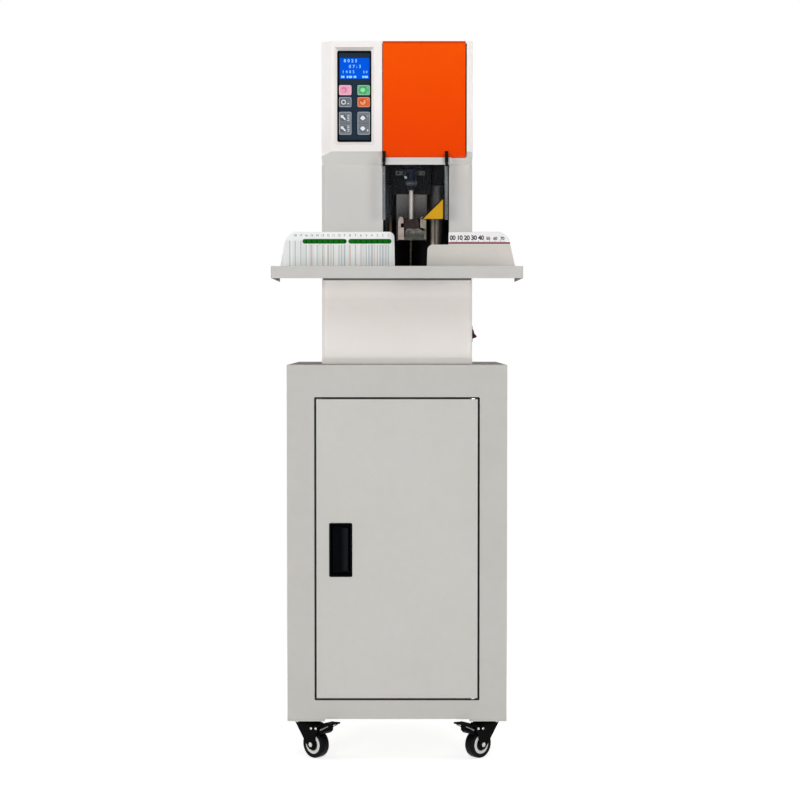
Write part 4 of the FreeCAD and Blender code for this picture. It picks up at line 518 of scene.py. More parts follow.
# The grip's paint carries a painted sheen: a lighter band down its right side stands for light on the cup's
# wall.
grip_painted_sheen = finish(
    "pull_grip_painted_sheen", (2, 3, 4), 0.45, grain=1300, shine=0.02,
    bands=[("X", PULL_X + 9.5, 1.0, 9.0, (26, 31, 34))])
rings = [(18.4, 45.9, 11.9), (18.4, 45.9, 0.0), (20.5, 48.0, 0.0), (20.5, 48.0, -0.9), (19.9, 47.4, -1.2),
         (17.6, 45.0, -1.2), (16.9, 44.2, -0.6), (16.6, 43.8, 3.0), (15.4, 42.0, 8.6), (12.8, 38.5, 10.4)]
bm = bmesh.new()
loops = []
for half_w, half_h, depth in rings:
    corners = bmesh.ops.create_grid(bm, x_segments=1, y_segments=1, size=1.0)["verts"]
    for v in corners:
        v.co = Vector((PULL_X + v.co.x * half_w, PULL_Y + depth, PULL_Z + v.co.y * half_h)) * mm
    flat = corners[0].link_faces[0]
    loops.append(list(flat.edges))
    bmesh.ops.delete(bm, geom=[flat], context="FACES_ONLY")
for near, far in zip(loops, loops[1:]):
    bmesh.ops.bridge_loops(bm, edges=near + far)
for rim in (loops[0], loops[-1]):
    bmesh.ops.contextual_create(bm, geom=rim)
corners = []
for e in bm.edges:
    x, y, z = (abs(c) for c in e.verts[0].co - e.verts[1].co)
    if y > 1e-5 or (x > 1e-4 and z > 1e-4):
        corners.append(e)
rounded(bm, corners, 2.5, 4)
bmesh.ops.recalc_face_normals(bm, faces=bm.faces)
pull = place("door_pull", bm, pull_black, "door", smooth=40)
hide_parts("door_handle")
grip = slab(oblong((PULL_X + GRIP_LEFT, PULL_X + GRIP_RIGHT), (PULL_Z - GRIP_HALF, PULL_Z + GRIP_HALF)),
            PULL_Y + 7.6, PULL_Y + 10.0, "y", 1.2, 0.4)
place("door_pull_grip", grip, grip_painted_sheen, "door")
dress(bright_zinc, "door_hinge_pins")
catch_black = finish("catch_rubber", (30, 29, 29), 0.7, soil=0.2, dust=0.08)
dress(catch_black, "door_catch")

# ---------------------------------------------------------------- machine base and column casing
# The machine stands on a thick plate in warm off-white. The column on it is one folded sheet wrap, grey above
# the table and off-white under it, and its open back is closed by a flat vented cover on screws.

column_paint = finish(
    "column_paint", (206, 204, 200), 0.42, worn=(226, 224, 220), dirt=(194, 191, 185), grain=1200, bump=15,
    dust=0.08, reach=1.2, wear=0.45, patch=7)
white_coat = dict(grain=1300, bump=15, soil=0.2, dust=0.05, reach=1.5, wear=0.4, patch=7)
warm_white = finish(
    "warm_white_paint", (249, 244, 240), 0.36, worn=(252, 250, 248), dirt=(240, 234, 229), **white_coat)
# The pedestal's off-white is painted lighter at its foot and just under the table: painted light over the
# shade there.
pedestal_painted_light = finish(
    "pedestal_paint_with_painted_light", (228, 221, 217), 0.36, worn=(250, 248, 246), dirt=(221, 214, 209),
    bands=[("Z", 714.0, 2.0, 90.0, (253, 249, 244)), ("Z", 862.0, 8.0, 40.0, (253, 249, 244))], **white_coat)
UNDER_TABLE = 866.0
eased("machine_base", 0.4, warm_white)
eased("column_casing", 0.5, column_paint, other=pedestal_painted_light, where=lambda at, n: at.z < UNDER_TABLE,
      cut=UNDER_TABLE)
eased("rear_cover", 0.4, warm_white)
COVER_FACE, COLUMN_FRONT = 195.0, -55.0
cover_screws = [button_head((x, COVER_FACE, z), (0, 1, 0), 3.0, 1.6) for x in (-126, 126)
                for z in (722, 900, 1100, 1276)]
place("rear_cover_screws", cover_screws, bright_zinc, "stand")
# A mid-grey strip along the column's face just under the table is painted shadow, the table's shade on the
# column.
table_shadow_grey = finish("table_painted_shadow", (118, 115, 112), 0.6, soil=0.3, dust=0.08, shine=0.2)
table_shadow_strip_shape = slab(oblong((-136.0, 136.0), (857.0, 861.4)), COLUMN_FRONT - 0.6, COLUMN_FRONT, "y", 1.9, 0.2)
place("table_shadow_strip", table_shadow_strip_shape, table_shadow_grey, "stand")

# ---------------------------------------------------------------- head casing
# Moulded head in satin off-white, painted darker towards its lower part as painted shade, with a lighter
# painted band at about Z 1074. A bevelled pocket at the left holds the console, the bay at the right opens
# behind the orange door.
# Its chin and the pocket's upper lip, which face down, carry painted shade in a greyer paint.

head_white_painted_shade = finish(
    "head_paint_painted_shade", (252, 247, 244), 0.36, worn=(253, 251, 249), dirt=(243, 238, 234),
    bands=[("Z", 1080.0, 20.0, 90.0, (238, 233, 230)), ("Z", 1074.0, 10.0, 16.0, (246, 246, 242))],
    **white_coat)
lip_painted_shade = finish(
    "head_lip_painted_shade", (212, 208, 205), 0.4, worn=(224, 221, 218), dirt=(192, 188, 184), grain=1300, bump=15,
    soil=0.2, reach=1.5, wear=0.4, patch=7)
DOOR_LOW, POCKET_TOP, THROAT = 1078.3, 1262.0, (-28.0, 93.0)
eased("head_casing", 1.1, head_white_painted_shade, segments=3, other=lip_painted_shade,
      where=lambda at, n: (at.z < DOOR_LOW and n.y < -0.3 and THROAT[0] < at.x < THROAT[1])
      or (at.z > POCKET_TOP and n.z < -0.3 and at.y < -80))

# ---------------------------------------------------------------- front door
# A shallow tray of folded sheet over the tools, in satin orange lacquer. It is hinged on two steel pins at
# its right and carries the clear guard's brackets.

# The lacquer is painted lighter towards the top as painted light, with a thin darker line painted just under
# its top edge.
door_orange_painted_light = finish(
    "front_door_painted_light", (246, 68, 0), 0.34, worn=(206, 54, 4), dirt=(242, 72, 1), grain=1300,
    streak=(1, 1, 0.12), bump=10, reach=1.6, wear=0.9, patch=6, shine=0.03,
    bands=[("Z", 1286.0, 0.0, 208.0, (254, 86, 2)), ("Z", 1283.6, 0.8, 2.6, (216, 64, 14))])
eased("front_door", 0.7, door_orange_painted_light)
dress(bright_zinc, "front_door_pins")

# ---------------------------------------------------------------- console panel and display
# A slate film panel sits in the pocket inside a black ring, a painted shadow round its edge. The display
# glows blue with pale blocky figures, and the circuit board is screwed behind it.

panel_film = finish(
    "console_film", (37, 52, 67), 0.4, dirt=(30, 42, 58), grain=1600, bump=8, soil=0.3, shine=0.03)
eased("console_panel", 0.35, panel_film)
# The black ring round the panel is painted shadow where the pocket's edge shades the panel.
ring_painted_shadow = finish("ring_painted_shadow", (2, 3, 5), 0.5, grain=1200, soil=0.2, shine=0.02)
PANEL_LEFT, PANEL_RIGHT, PANEL_LOW, PANEL_HIGH = -108.3, -45.0, 1105.4, 1268.9
panel_shadow_ring = ring(oblong((PANEL_LEFT, PANEL_RIGHT), (PANEL_LOW, PANEL_HIGH)), -96.3, -95.2, 3.4, 3.8)
place("console_painted_shadow_ring", panel_shadow_ring, ring_painted_shadow, "stand")


def lit(material, strength):
    """Lets a finish glow in its own colour."""
    shader = material.node_tree.nodes["Principled BSDF"]
    source = shader.inputs["Base Color"].links[0].from_socket
    material.node_tree.links.new(source, shader.inputs["Emission Color"])
    shader.inputs["Emission Strength"].default_value = strength
    return material


screen = lit(finish("display_backlight", (1, 82, 210), 0.3, dirt=(0, 66, 232), grain=500, bump=0.0,
                    soil=0.3, patch=40, shine=0.02), 0.28)
eased("display_module", 0.3, screen)
figure_blue = lit(
    finish("display_figures", (130, 200, 252), 0.3, grain=500, bump=0.0, soil=0.2, shine=0.1), 0.32)
SIZE_TO_HEIGHT, INK = 1.42, 0.02


def numerals(text, x, z, y, height, spacing=1.0, bold=0.0):
    """Figures as a thin mesh, centred on x, standing on z, facing -Y at y, with strokes swollen by bold."""
    curve = bpy.data.curves.new("figures", "FONT")
    curve.body = text
    curve.size = height * mm * SIZE_TO_HEIGHT
    curve.align_x = "CENTER"
    curve.space_character = spacing
    curve.resolution_u = 3
    curve.offset = bold * mm
    curve.extrude = INK * mm
    shape = bpy.data.objects.new("figures", curve)
    mesh = bpy.data.meshes.new_from_object(shape)
    bm = bmesh.new()
    bm.from_mesh(mesh)
    bmesh.ops.remove_doubles(bm, verts=bm.verts, dist=1e-6)
    bmesh.ops.recalc_face_normals(bm, faces=bm.faces)
    bpy.data.objects.remove(shape)
    bpy.data.curves.remove(curve)
    bpy.data.meshes.remove(mesh)
    upright = Matrix.Rotation(math.radians(90), 4, "X")
    bmesh.ops.transform(bm, matrix=Matrix.Translation((x * mm, y * mm, z * mm)) @ upright, verts=bm.verts)
    return bm


GLASS = -94.6
rows = [numerals(text, x, z, GLASS - 0.1, height, spacing, bold) for text, x, z, height, spacing, bold in (
    ("8 0 2 5", -84, 1248.8, 5.4, 1.1, 0.2), ("0 7 : 3", -76, 1238.6, 5.4, 1.1, 0.2),
    ("1 4 0 5", -88, 1229.2, 5.0, 1.1, 0.1), ("5 0", -57.5, 1229.2, 4.4, 1.0, 0.1))]
for x, width in ((-98, 6), (-89.5, 3), (-84, 6), (-76, 5), (-61, 4), (-55.5, 6)):
    rows.append(slab(oblong((x - width / 2, x + width / 2), (1220.4, 1224.4)), GLASS - 0.14, GLASS, "y", 0.5))
place("display_figures", rows, figure_blue, "stand")
board_green = finish("circuit_board", (28, 88, 58), 0.4, soil=0.2, dust=0.1)
dress(board_green, "control_board")

# ---------------------------------------------------------------- console keys
# Four small keys and two tall rocker keys, moulded in matt plastic. Each has a pale rim, a darker disc
# and a white symbol printed on its face.

KEY_FACE, KEY_BACK = -95.9, -90.2
KEY_HALF_WIDTH, FIELD_HALF_WIDTH, DISC_RADIUS, PRINT = 11.25, 9.9, 6.4, 0.2
LEFT_COLUMN, RIGHT_COLUMN = -93.6, -60.3


def key_layer(x, z, half_w, half_h, step, corner=2.0):
    """A printed layer on a key's face; each step lies a little over the last."""
    return slab(oblong((x - half_w, x + half_w), (z - half_h, z + half_h)), KEY_FACE - 0.05 * step,
                KEY_FACE, "y", corner)


def disc(x, z, radius, step):
    """A round printed layer."""
    return lathe([(0, 0), (radius, 0), (radius, 0.05 * step), (0, 0.05 * step)], (x, KEY_FACE, z),
                 (0, -1, 0), 24)


def arc(x, z, radius, width, start, end, steps=14):
    """A printed ring or part of one."""
    bm = bmesh.new()
    a, b = [bm.verts.new(Vector((r, 0, 0)) * mm) for r in (radius - width / 2, radius + width / 2)]
    bmesh.ops.spin(
        bm, geom=[a, b, bm.edges.new((a, b))], cent=(0, 0, 0), axis=(0, 1, 0),
        use_merge=(end - start) >= 360, angle=-math.radians(end - start), steps=steps, use_duplicate=False)
    bmesh.ops.rotate(bm, cent=(0, 0, 0), matrix=Matrix.Rotation(-math.radians(start), 3, "Y"), verts=bm.verts)
    pushed(bm, list(bm.faces), (0, -PRINT * mm, 0))
    bmesh.ops.translate(bm, vec=Vector((x, KEY_FACE, z)) * mm, verts=bm.verts)
    return bm


def mark(outline, x, z):
    """A printed symbol from its outline about its own centre."""
    return slab([(x + a, z + b) for a, b in outline], KEY_FACE - PRINT, KEY_FACE, "y")


def bar(x, z, half_w, half_h):
    """A short printed bar."""
    return mark(oblong((-half_w, half_w), (-half_h, half_h)), x, z)


arrow_up = [(-5.0, -1.4), (-3.2, 2.2), (0, 4.4), (3.2, 2.2), (5.0, -1.4), (3.0, -2.0), (2.0, -4.0),
            (-2.0, -4.0), (-3.0, -2.0)]
arrow_down = [(a, -b) for a, b in reversed(arrow_up)]
diagonal = [(-4.6, 4.6), (0.6, 4.6), (0.2, 2.6), (4.6, -2.2), (3.0, -4.6), (-2.0, 0.2), (-4.4, -0.4)]
star = [(0, -5.4), (2.0, -3.0), (5.0, -2.4), (4.0, 0), (5.0, 2.6), (2.0, 3.0), (0, 5.4), (-2.0, 3.0),
        (-5.0, 2.6), (-4.0, 0), (-5.0, -2.4), (-2.0, -3.0)]
UPPER_ROW, LOWER_ROW, ROCKER_ROW = 1198.6, 1177.0, 1139.0
rocker_greys = (162, 168, 175), (116, 122, 131), (92, 97, 106), (236, 238, 242)
keys = {
    "key_stop": (
        LEFT_COLUMN, UPPER_ROW, (251, 200, 216), (245, 172, 198), (240, 160, 188), (222, 112, 152),
        [(-2.5, 0)], lambda x, z: [arc(x - 2.5, z, 4.0, 1.8, -60, 150), bar(x + 5.0, z + 3.5, 0.8, 0.5)]),
    "key_start": (
        RIGHT_COLUMN, UPPER_ROW, (150, 210, 172), (90, 181, 126), (58, 152, 92), (146, 234, 166), [(-1.5, 0)],
        lambda x, z: [mark(star, x - 1.5, z)] + [bar(x + 7.6, z + dz, 0.8, 1.0) for dz in (4.4, -4.4)]),
    "key_menu": (
        LEFT_COLUMN, LOWER_ROW, (164, 168, 174), (108, 113, 122), (86, 90, 100), (222, 222, 230), [(-3.0, 0)],
        lambda x, z: [arc(x - 3.0, z, 3.6, 2.0, 0, 360, 20), bar(x + 5.4, z - 2.8, 2.0, 0.8)]),
    "key_confirm": (
        RIGHT_COLUMN, LOWER_ROW, (232, 152, 116), (226, 104, 54), (206, 84, 38), (255, 182, 122), [(-1.5, 0)],
        lambda x, z: [arc(x - 1.5, z, 3.8, 2.2, -200, 60), bar(x - 0.4, z - 0.6, 2.0, 1.0),
                      bar(x + 7.6, z + 4.4, 0.7, 0.9)]),
    "rocker_key_left": (
        LEFT_COLUMN, ROCKER_ROW, *rocker_greys, [(-3.6, 9.8), (-3.6, -10.2)],
        lambda x, z: [mark(diagonal, x - 3.6, z + dz) for dz in (9.8, -10.2)]
        + [bar(x + 5.6, z + dz, 1.8, 0.6) for dz in (14, 11, 8, 5, -5, -8, -11, -14)]),
    "rocker_key_right": (
        RIGHT_COLUMN, ROCKER_ROW, *rocker_greys, [(-1.6, 9.6), (-1.6, -10.0)],
        lambda x, z: [mark(arrow_up, x - 1.6, z + 9.4), mark(arrow_down, x - 1.6, z - 9.6),
                      bar(x + 7.4, z + 13, 0.7, 0.7), bar(x + 7.2, z - 12.6, 1.1, 1.4)]),
}
KEY_HALF_HEIGHT, ROCKER_HALF_HEIGHT, RIM_WIDTH = 8.95, 20.65, 1.5
key_moulding = dict(grain=1500, soil=0.15, dust=0.02, shine=0.2)
for key, (x, z, rim_colour, field_colour, disc_colour, print_colour, discs, symbol) in keys.items():
    half_h = ROCKER_HALF_HEIGHT if "rocker" in key else KEY_HALF_HEIGHT
    block = slab(oblong((x - KEY_HALF_WIDTH, x + KEY_HALF_WIDTH), (z - half_h, z + half_h)),
                 KEY_BACK, KEY_FACE, "y", 2.6, 0.4)
    layers = [("cover", rim_colour, block),
              ("field", field_colour, key_layer(x, z, FIELD_HALF_WIDTH, half_h - RIM_WIDTH, 1)),
              ("disc", disc_colour, gather(*[disc(x + dx, z + dz, DISC_RADIUS, 2) for dx, dz in discs])),
              ("symbol", print_colour, gather(*symbol(x, z)))]
    for layer, colour, bm in layers:
        plastic = finish(key + "_" + layer, colour, 0.5, **key_moulding)
        piece = place(key + "_" + layer, bm, plastic, body_of(key))
        if layer == "cover":
            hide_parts(key)
groove = finish("rocker_key_groove", (88, 93, 102), 0.5, **key_moulding)
for name in ("rocker_key_left", "rocker_key_right"):
    split = key_layer(*keys[name][:2], FIELD_HALF_WIDTH, 0.5, 1.5, 0.2)
    place(name + "_groove", split, groove, body_of(name))

# ---------------------------------------------------------------- power switch and mains inlet
# A red rocker in a black frame is snapped into the column's right side, marked I and O. The black
# three-pin inlet with brass pins is screwed to the rear cover.

switch_black = finish(
    "switch_plastic", (20, 20, 22), 0.4, worn=(52, 52, 54), grain=1400, soil=0.2, dust=0.05, shine=0.3)
eased("switch_bezel", 0.5, switch_black)
rocker_red = finish(
    "switch_rocker_red", (104, 14, 16), 0.3, worn=(150, 44, 42), dirt=(58, 8, 12), grain=1500, bump=10,
    soil=0.3, shine=0.1)
rocker = slab(
    [(133.5, 769.3), (139.6, 769.5), (142.0, 764.0), (143.9, 759.0), (148.0, 754.6), (147.6, 752.4),
     (140.4, 749.9), (133.5, 749.9)], -14.6, -5.4, "y", 1.0, 0.4,
    rounds=[(139.6, 769.5), (148.0, 754.6), (147.6, 752.4)])
toggle = place("power_rocker", rocker, rocker_red, "switch")
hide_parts("switch_rocker")
switch_print = finish("switch_print", (226, 224, 220), 0.5, grain=1500, bump=0.0, soil=0.1)
stroke = slab(oblong((-10.5, -9.5), (762.6, 766.6)), 140.4, 142.9, "x")
bmesh.ops.rotate(stroke, cent=Vector((141.9, -10, 764.6)) * mm,
                 matrix=Matrix.Rotation(math.radians(-21), 3, "Y"), verts=stroke.verts)
circle = lathe(
    [(1.3, 0), (1.3, 0.15), (1.9, 0.15), (1.9, 0), (1.3, 0)], (146.4, -10, 756.5), (0.74, 0, 0.67), 24)
place("switch_marks", gather(stroke, circle), switch_print, "switch")
eased("power_inlet", 0.4, switch_black)
pin_brass = finish(
    "inlet_brass", (214, 186, 120), 0.28, dirt=(150, 120, 70), metal=1.0, grain=1500, soil=0.3, dust=0.08)
INLET_X, INLET_Z = 82, 754
pins = []
for x, z in ((INLET_X - 7, INLET_Z + 1), (INLET_X + 7, INLET_Z + 1), (INLET_X, INLET_Z + 4.5)):
    pins.append(slab(oblong((x - 1.1, x + 1.1), (z - 2.1, z + 2.1)), 178, 191.1, "y", 0.4, 0.3))
place("inlet_pins", pins, pin_brass, "stand")

# ---------------------------------------------------------------- clear guard
# A folded acrylic shield with sawn, frosted back edges hangs in front of the tools. It pivots in two
# black moulded brackets on the orange door, and a plain yellow corner marker is stuck on its face.

bracket_black = finish(
    "bracket_plastic", (8, 7, 8), 0.34, worn=(40, 36, 36), dirt=(20, 14, 14), grain=1400, soil=0.2,
    wear=0.25, shine=0.08)
PIVOT_Y, PIVOT_Z, KNUCKLE, EAR, EAR_LOW, PIN = -104.0, 1072.0, 5.0, 4.4, 1066.4, 1.5
DOOR_FACE = -100.0


def half_round(radius, top, back, low):
    """Side outline of a hinge part: straight down from its top, round the pivot below."""
    turn = round_points((PIVOT_Y, min(low, PIVOT_Z)), radius, 180, 361, 15)
    return [(PIVOT_Y - radius, top)] + turn + [(back, low), (back, top)]


clevises, ears = [], []
for outer, slot_near, slot_far, inner in ((-26.8, -25.4, -22.3, -20.6), (92.5, 91.1, 88.0, 86.3)):
    low_x, high_x = sorted((outer, inner))
    clevises.append(slab([(-109, 1076.8), (DOOR_FACE, 1076.8), (DOOR_FACE, 1088.7), (-102, 1088.7),
                          (-103.2, 1083.6), (-109, 1082.7)], low_x, high_x, "x", 0.8, 0.4))
    for span in ((outer, slot_near), (slot_far, inner)):
        clevises.append(
            slab(half_round(KNUCKLE, 1077.4, DOOR_FACE - 0.3, PIVOT_Z), *sorted(span), "x", edge=0.3))
    clevises.append(lathe([(0, 0), (PIN, 0), (PIN, high_x - low_x), (0, high_x - low_x)],
                          (low_x, PIVOT_Y, PIVOT_Z), (1, 0, 0), 16))
    crown = round_points((PIVOT_Y, PIVOT_Z), EAR, 0, 181, 15)
    play = math.copysign(0.15, inner - outer)
    ears.append(slab(crown + [(PIVOT_Y - EAR, EAR_LOW), (PIVOT_Y + EAR, EAR_LOW)],
                     *sorted((slot_near + play, slot_far - play)), "x", edge=0.1))
    ears.append(slab(oblong((low_x + 0.3, high_x - 0.3), (1060.6, EAR_LOW)), -108.4, -106.9, "y", 0.8, 0.3))
hinge = place("guard_clevises", clevises, bracket_black, "tool_door")
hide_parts("guard_brackets")
place("guard_ear_caps", ears, bracket_black, "guard")
acrylic = bpy.data.materials.new("clear_acrylic")
acrylic.use_nodes = True
tree = acrylic.node_tree
smears = wired(tree, "Group", {}, node_tree=grain_group)
feed(tree, smears, {"Size": 300.0})
feed(tree, tree.nodes["Principled BSDF"], {
    "Transmission Weight": 1.0, "IOR": 1.12, "Base Color": (0.93, 0.95, 0.96, 1),
    "Roughness": spread(tree, smears.outputs["Tone"], 0.4, 0.75, 0.015, 0.06)})
eased("guard_panel", 0.35, acrylic)
GUARD_FACE, GUARD_BACK, GUARD_LOW = -107.0, -87.0, 965.2
frosted = finish(
    "sawn_acrylic", (132, 134, 136), 0.6, dirt=(92, 94, 96), streak=(1, 1, 0.1), bump=40, soil=0.5,
    patch=60, shine=0.1, tone=0.3, tone_range=(0.4, 0.6))
sawn = [slab(oblong(span, (GUARD_LOW + 0.4, 1066.0)), GUARD_BACK - 0.05, GUARD_BACK + 0.3, "y", 0.6)
        for span in ((-27.0, -21.4), (86.4, 92.2))]
place("guard_sawn_edges", sawn, frosted, "guard")
marker_yellow = finish(
    "marker_yellow", (212, 162, 24), 0.4, dirt=(188, 138, 12), grain=1500, bump=5, soil=0.7, patch=60,
    shine=0.1)
marker_black = finish("marker_edge", (22, 18, 10), 0.4, grain=1500, bump=0.0, soil=0.2, shine=0.08)
edging = slab([(42.8, 965.5), (83.2, 965.5), (83.2, 1005.6)], GUARD_FACE - 0.12, GUARD_FACE - 0.06, "y", 1.4)
field = slab([(47.2, 966.1), (82.8, 966.1), (82.8, 1001.2)], GUARD_FACE - 0.22, GUARD_FACE, "y", 1.4)
place("marker_edging", edging, marker_black, "guard")
place("marker_field", field, marker_yellow, "guard")

# ---------------------------------------------------------------- paper table
# Sheet steel table folded round the column, in satin grey paint, with its outer edges turned well down. The
# undersides and inner faces of those edges are painted dark grey, as painted shade.

table_paint = finish(
    "table_paint", (198, 196, 192), 0.45, worn=(224, 223, 219), dirt=(186, 183, 176), grain=1200, dust=0.04,
    reach=1.6, wear=0.6, patch=8)
table_flange_painted_shade = finish(
    "table_flange_painted_shade", (112, 110, 107), 0.6, worn=(150, 148, 144), dirt=(92, 90, 86), grain=1200, bump=30,
    soil=0.4, patch=12, shine=0.1)
FLANGE_INSIDE = 218.7
eased("paper_table", 0.8, table_paint, other=table_flange_painted_shade, where=lambda at, n: abs(at.x) > 200 and (
    n.z < -0.9 or (abs(at.x) < FLANGE_INSIDE and n.x * at.x < -0.5 * abs(at.x))))

# ---------------------------------------------------------------- fences
# Two sheet fences stand on the table and stop the paper. The left one is printed with green bars and
# ruled lines, the right one with a plain scale on a pale strip over a dark red line.

# The left fence is painted lighter along its top, as painted light.
left_fence_painted_light = finish(
    "left_fence_paint_painted_light", (239, 241, 239), 0.42, worn=(240, 241, 239), dirt=(224, 233, 235), grain=2000,
    streak=(1, 0.01, 0.01), bump=5, soil=0.4, reach=1.8, wear=0.8, patch=10, tone=0.15,
    tone_range=(0.42, 0.58), bands=[("Z", 945.0, 12.0, 18.0, (248, 251, 248))])
fence_grey = finish(
    "right_fence_paint", (216, 212, 205), 0.42, worn=(226, 224, 220), dirt=(206, 201, 194), grain=1200,
    bump=10, reach=1.8, wear=0.8)
eased("left_fence", 0.4, left_fence_painted_light, trim=[
    (-213.6, 884.0), (-205.6, 926.0), (-202.4, 933.5), (-196.4, 940.8), (-190.4, 944.4), (-182.0, 946.2)])
eased("right_fence", 0.4, fence_grey, trim=[
    (183.0, 946.2), (190.5, 943.8), (196.0, 940.6), (201.0, 936.8), (205.2, 931.5)])
FENCE_FACE = -63.0


def printed(name, colour, marks):
    """Ink on a fence, a shade uneven."""
    ink = finish(name, colour, 0.45, grain=1500, bump=0.0, soil=0.3, patch=40, shine=0.02)
    place(name, marks, ink, "stand")


RULES_LOW, RULES_TOP = 878.5, 921.8


def rule(x, half, low=RULES_LOW, high=RULES_TOP, proud=0.1):
    """An upright ruled line."""
    return slab(oblong((x - half, x + half), (low, high)), FENCE_FACE - proud, FENCE_FACE, "y")


BARS, DOT_MARGIN = ((-173.0, -92.2), (-89.2, -10.2)), 3.5
printed("fence_green_bars", (22, 106, 28), [slab(oblong(bar_ends, (923.6, 932.2)), FENCE_FACE - 0.14,
                                                 FENCE_FACE, "y", 4.2, segments=6) for bar_ends in BARS])
RULER_START, RULER_STEP = -196.2, 10.0
marks_at = [RULER_START + RULER_STEP * k for k in range(19)]
printed("fence_bar_dots", (14, 78, 20), [
    slab(oblong((x - 1.6, x + 1.6), (925.2, 930.6)), FENCE_FACE - 0.18, FENCE_FACE, "y", 1.4)
    for x in marks_at if any(start + DOT_MARGIN < x < end - DOT_MARGIN for start, end in BARS)])
printed("fence_rules", (197, 205, 202), [
    rule(x, 1.5 if k in (7, 10, 11, 15, 17) else 1.0, high=RULES_TOP if x > BARS[0][0] else 929.0)
    for k, x in enumerate(marks_at)])
printed("fence_red_rules", (230, 211, 205), [
    rule(x, 1.0, proud=0.12) for x in (-157.8, -133.5, -120.7, -85.8, -66.0, -40.7)])
printed("fence_blue_rules", (204, 212, 221), [rule(x, 1.5) for x in (-101.5, -51.5, -31.0, -20.5)])
printed("fence_figures", (96, 104, 112), [
    numerals(str(19 - k), x, 936.8, FENCE_FACE - 0.1, 4.2, 0.9) for k, x in enumerate(marks_at) if k])
pale_strip = slab(
    [(94.3, 925.6), (206.4, 925.6), (204.8, 931.3), (200.6, 936.5), (195.7, 940.2), (190.2, 943.3),
     (185.0, 944.9), (97.0, 944.9), (94.6, 942.4)], FENCE_FACE - 0.08, FENCE_FACE, "y")
printed("right_fence_strip", (254, 252, 253), pale_strip)
red_line = slab(oblong((94.2, 206.6), (923.5, 926.3)), FENCE_FACE - 0.14, FENCE_FACE, "y")
printed("right_fence_line", (138, 30, 42), red_line)
SCALE_START, LARGE, SMALL = 101.5, (8.0, 0.9, 0.35), (5.6, 0.9, 0.2)
scale = []
for k in range(8):
    size, spacing, bold = LARGE if k < 5 else SMALL
    scale.append(
        numerals("%02d" % (10 * k), SCALE_START + 13.0 * k, 930.6, FENCE_FACE - 0.12, size, spacing, bold))
for k in range(50):
    half, top = (0.2, 928.4) if k % 5 else (0.35, 929.6)
    scale.append(rule(99.0 + 2.0 * k, half, 926.6, top, 0.12))
printed("right_fence_scale", (30, 31, 38), scale)

# ---------------------------------------------------------------- machine frame
# Welded steel frame inside the column, in dull black paint, with the anvil's nose under the table. A
# nylon drilling pad and a steel rivet die are set into the nose, almost flush with the table.

frame_black = finish(
    "frame_paint", (10, 9, 9), 0.55, worn=(44, 38, 34), dirt=(24, 20, 18), bump=40, soil=0.35, dust=0.06,
    reach=1.0, wear=0.4, shine=0.15)
dress(frame_black, "machine_frame")
eased("top_plate", 0.6, frame_black)
pad_white = finish(
    "drill_pad_nylon", (226, 224, 216), 0.5, dirt=(186, 180, 166), grain=1300, soil=0.4, dust=0.08)
dress(pad_white, "drill_pad")
die_steel = finish(
    "die_steel", (150, 148, 145), 0.3, dirt=(96, 88, 78), metal=1.0, grain=1600, soil=0.3, dust=0.08)
dress(die_steel, "rivet_die")

# ---------------------------------------------------------------- guide columns and lead screw
# Two ground and chromed columns guide the carriage; upright streaks on them are painted highlights and,
# above about Z 955, painted shade, and the left one is a darker, shaded copy of the right's finish. A rolled
# steel screw with a trapezoidal thread stands between and behind them.

chromed = dict(
    grain=2600, streak=(1, 1, 0.02), bump=4, soil=0.35, patch=26, tone=0.3, tone_range=(0.42, 0.56))
# The right column: two upright streaks of painted highlight, and painted shade from about Z 955 up.
right_guide_painted_light = finish(
    "guide_chrome", (48, 43, 38), 0.4, dirt=(40, 32, 26), metal=0.3,
    bands=[("X", 65.0, 0.8, 3.6, (206, 191, 170)), ("X", 72.0, 0.6, 2.6, (98, 90, 78)),
           ("Z", 1100.0, 122.0, 146.0, (40, 40, 37))], **chromed)
# The left column: a darker, shaded copy of the same chrome, with one brown streak of painted highlight and
# painted shade from about Z 955 up.
left_guide_painted_shade = finish(
    "left_guide_chrome_painted_shade", (10, 8, 8), 0.36, dirt=(14, 10, 8), metal=0.15, shine=0.08,
    bands=[("X", -11.8, 0.9, 3.2, (132, 108, 86)), ("Z", 1100.0, 122.0, 146.0, (30, 33, 36))], **chromed)
MIDWAY = 25.5
eased("guide_columns", 0.6, right_guide_painted_light, other=left_guide_painted_shade, where=lambda at, n: at.x < MIDWAY)
screw_steel = finish("screw_steel", (70, 66, 58), 0.35, dirt=(60, 52, 44), metal=1.0, grain=1500, soil=0.5)
SCREW_X, SCREW_Y, PITCH, STEPS = 25.5, 30.0, 4.0, 20
THREAD_LOW, THREAD_TOP, CREST, ROOT = 848.7, 1227.0, 6.0, 4.9
turns = int((THREAD_TOP - THREAD_LOW) / PITCH)
bm = bmesh.new()
thread = outlined(bm, [(CREST, 0.0), (CREST, 1.3), (ROOT, 2.0), (ROOT, 3.3), (CREST, PITCH)])
bmesh.ops.spin(bm, geom=thread, cent=(0, 0, 0), axis=(0, 0, 1), dvec=(0, 0, PITCH * mm / STEPS),
               angle=2 * math.pi * turns, steps=STEPS * turns, use_merge=False, use_duplicate=False)
bmesh.ops.remove_doubles(bm, verts=bm.verts, dist=2e-6)
bmesh.ops.holes_fill(bm, edges=[e for e in bm.edges if e.is_boundary])
bmesh.ops.recalc_face_normals(bm, faces=bm.faces)
bmesh.ops.translate(bm, vec=Vector((SCREW_X, SCREW_Y, THREAD_LOW)) * mm, verts=bm.verts)
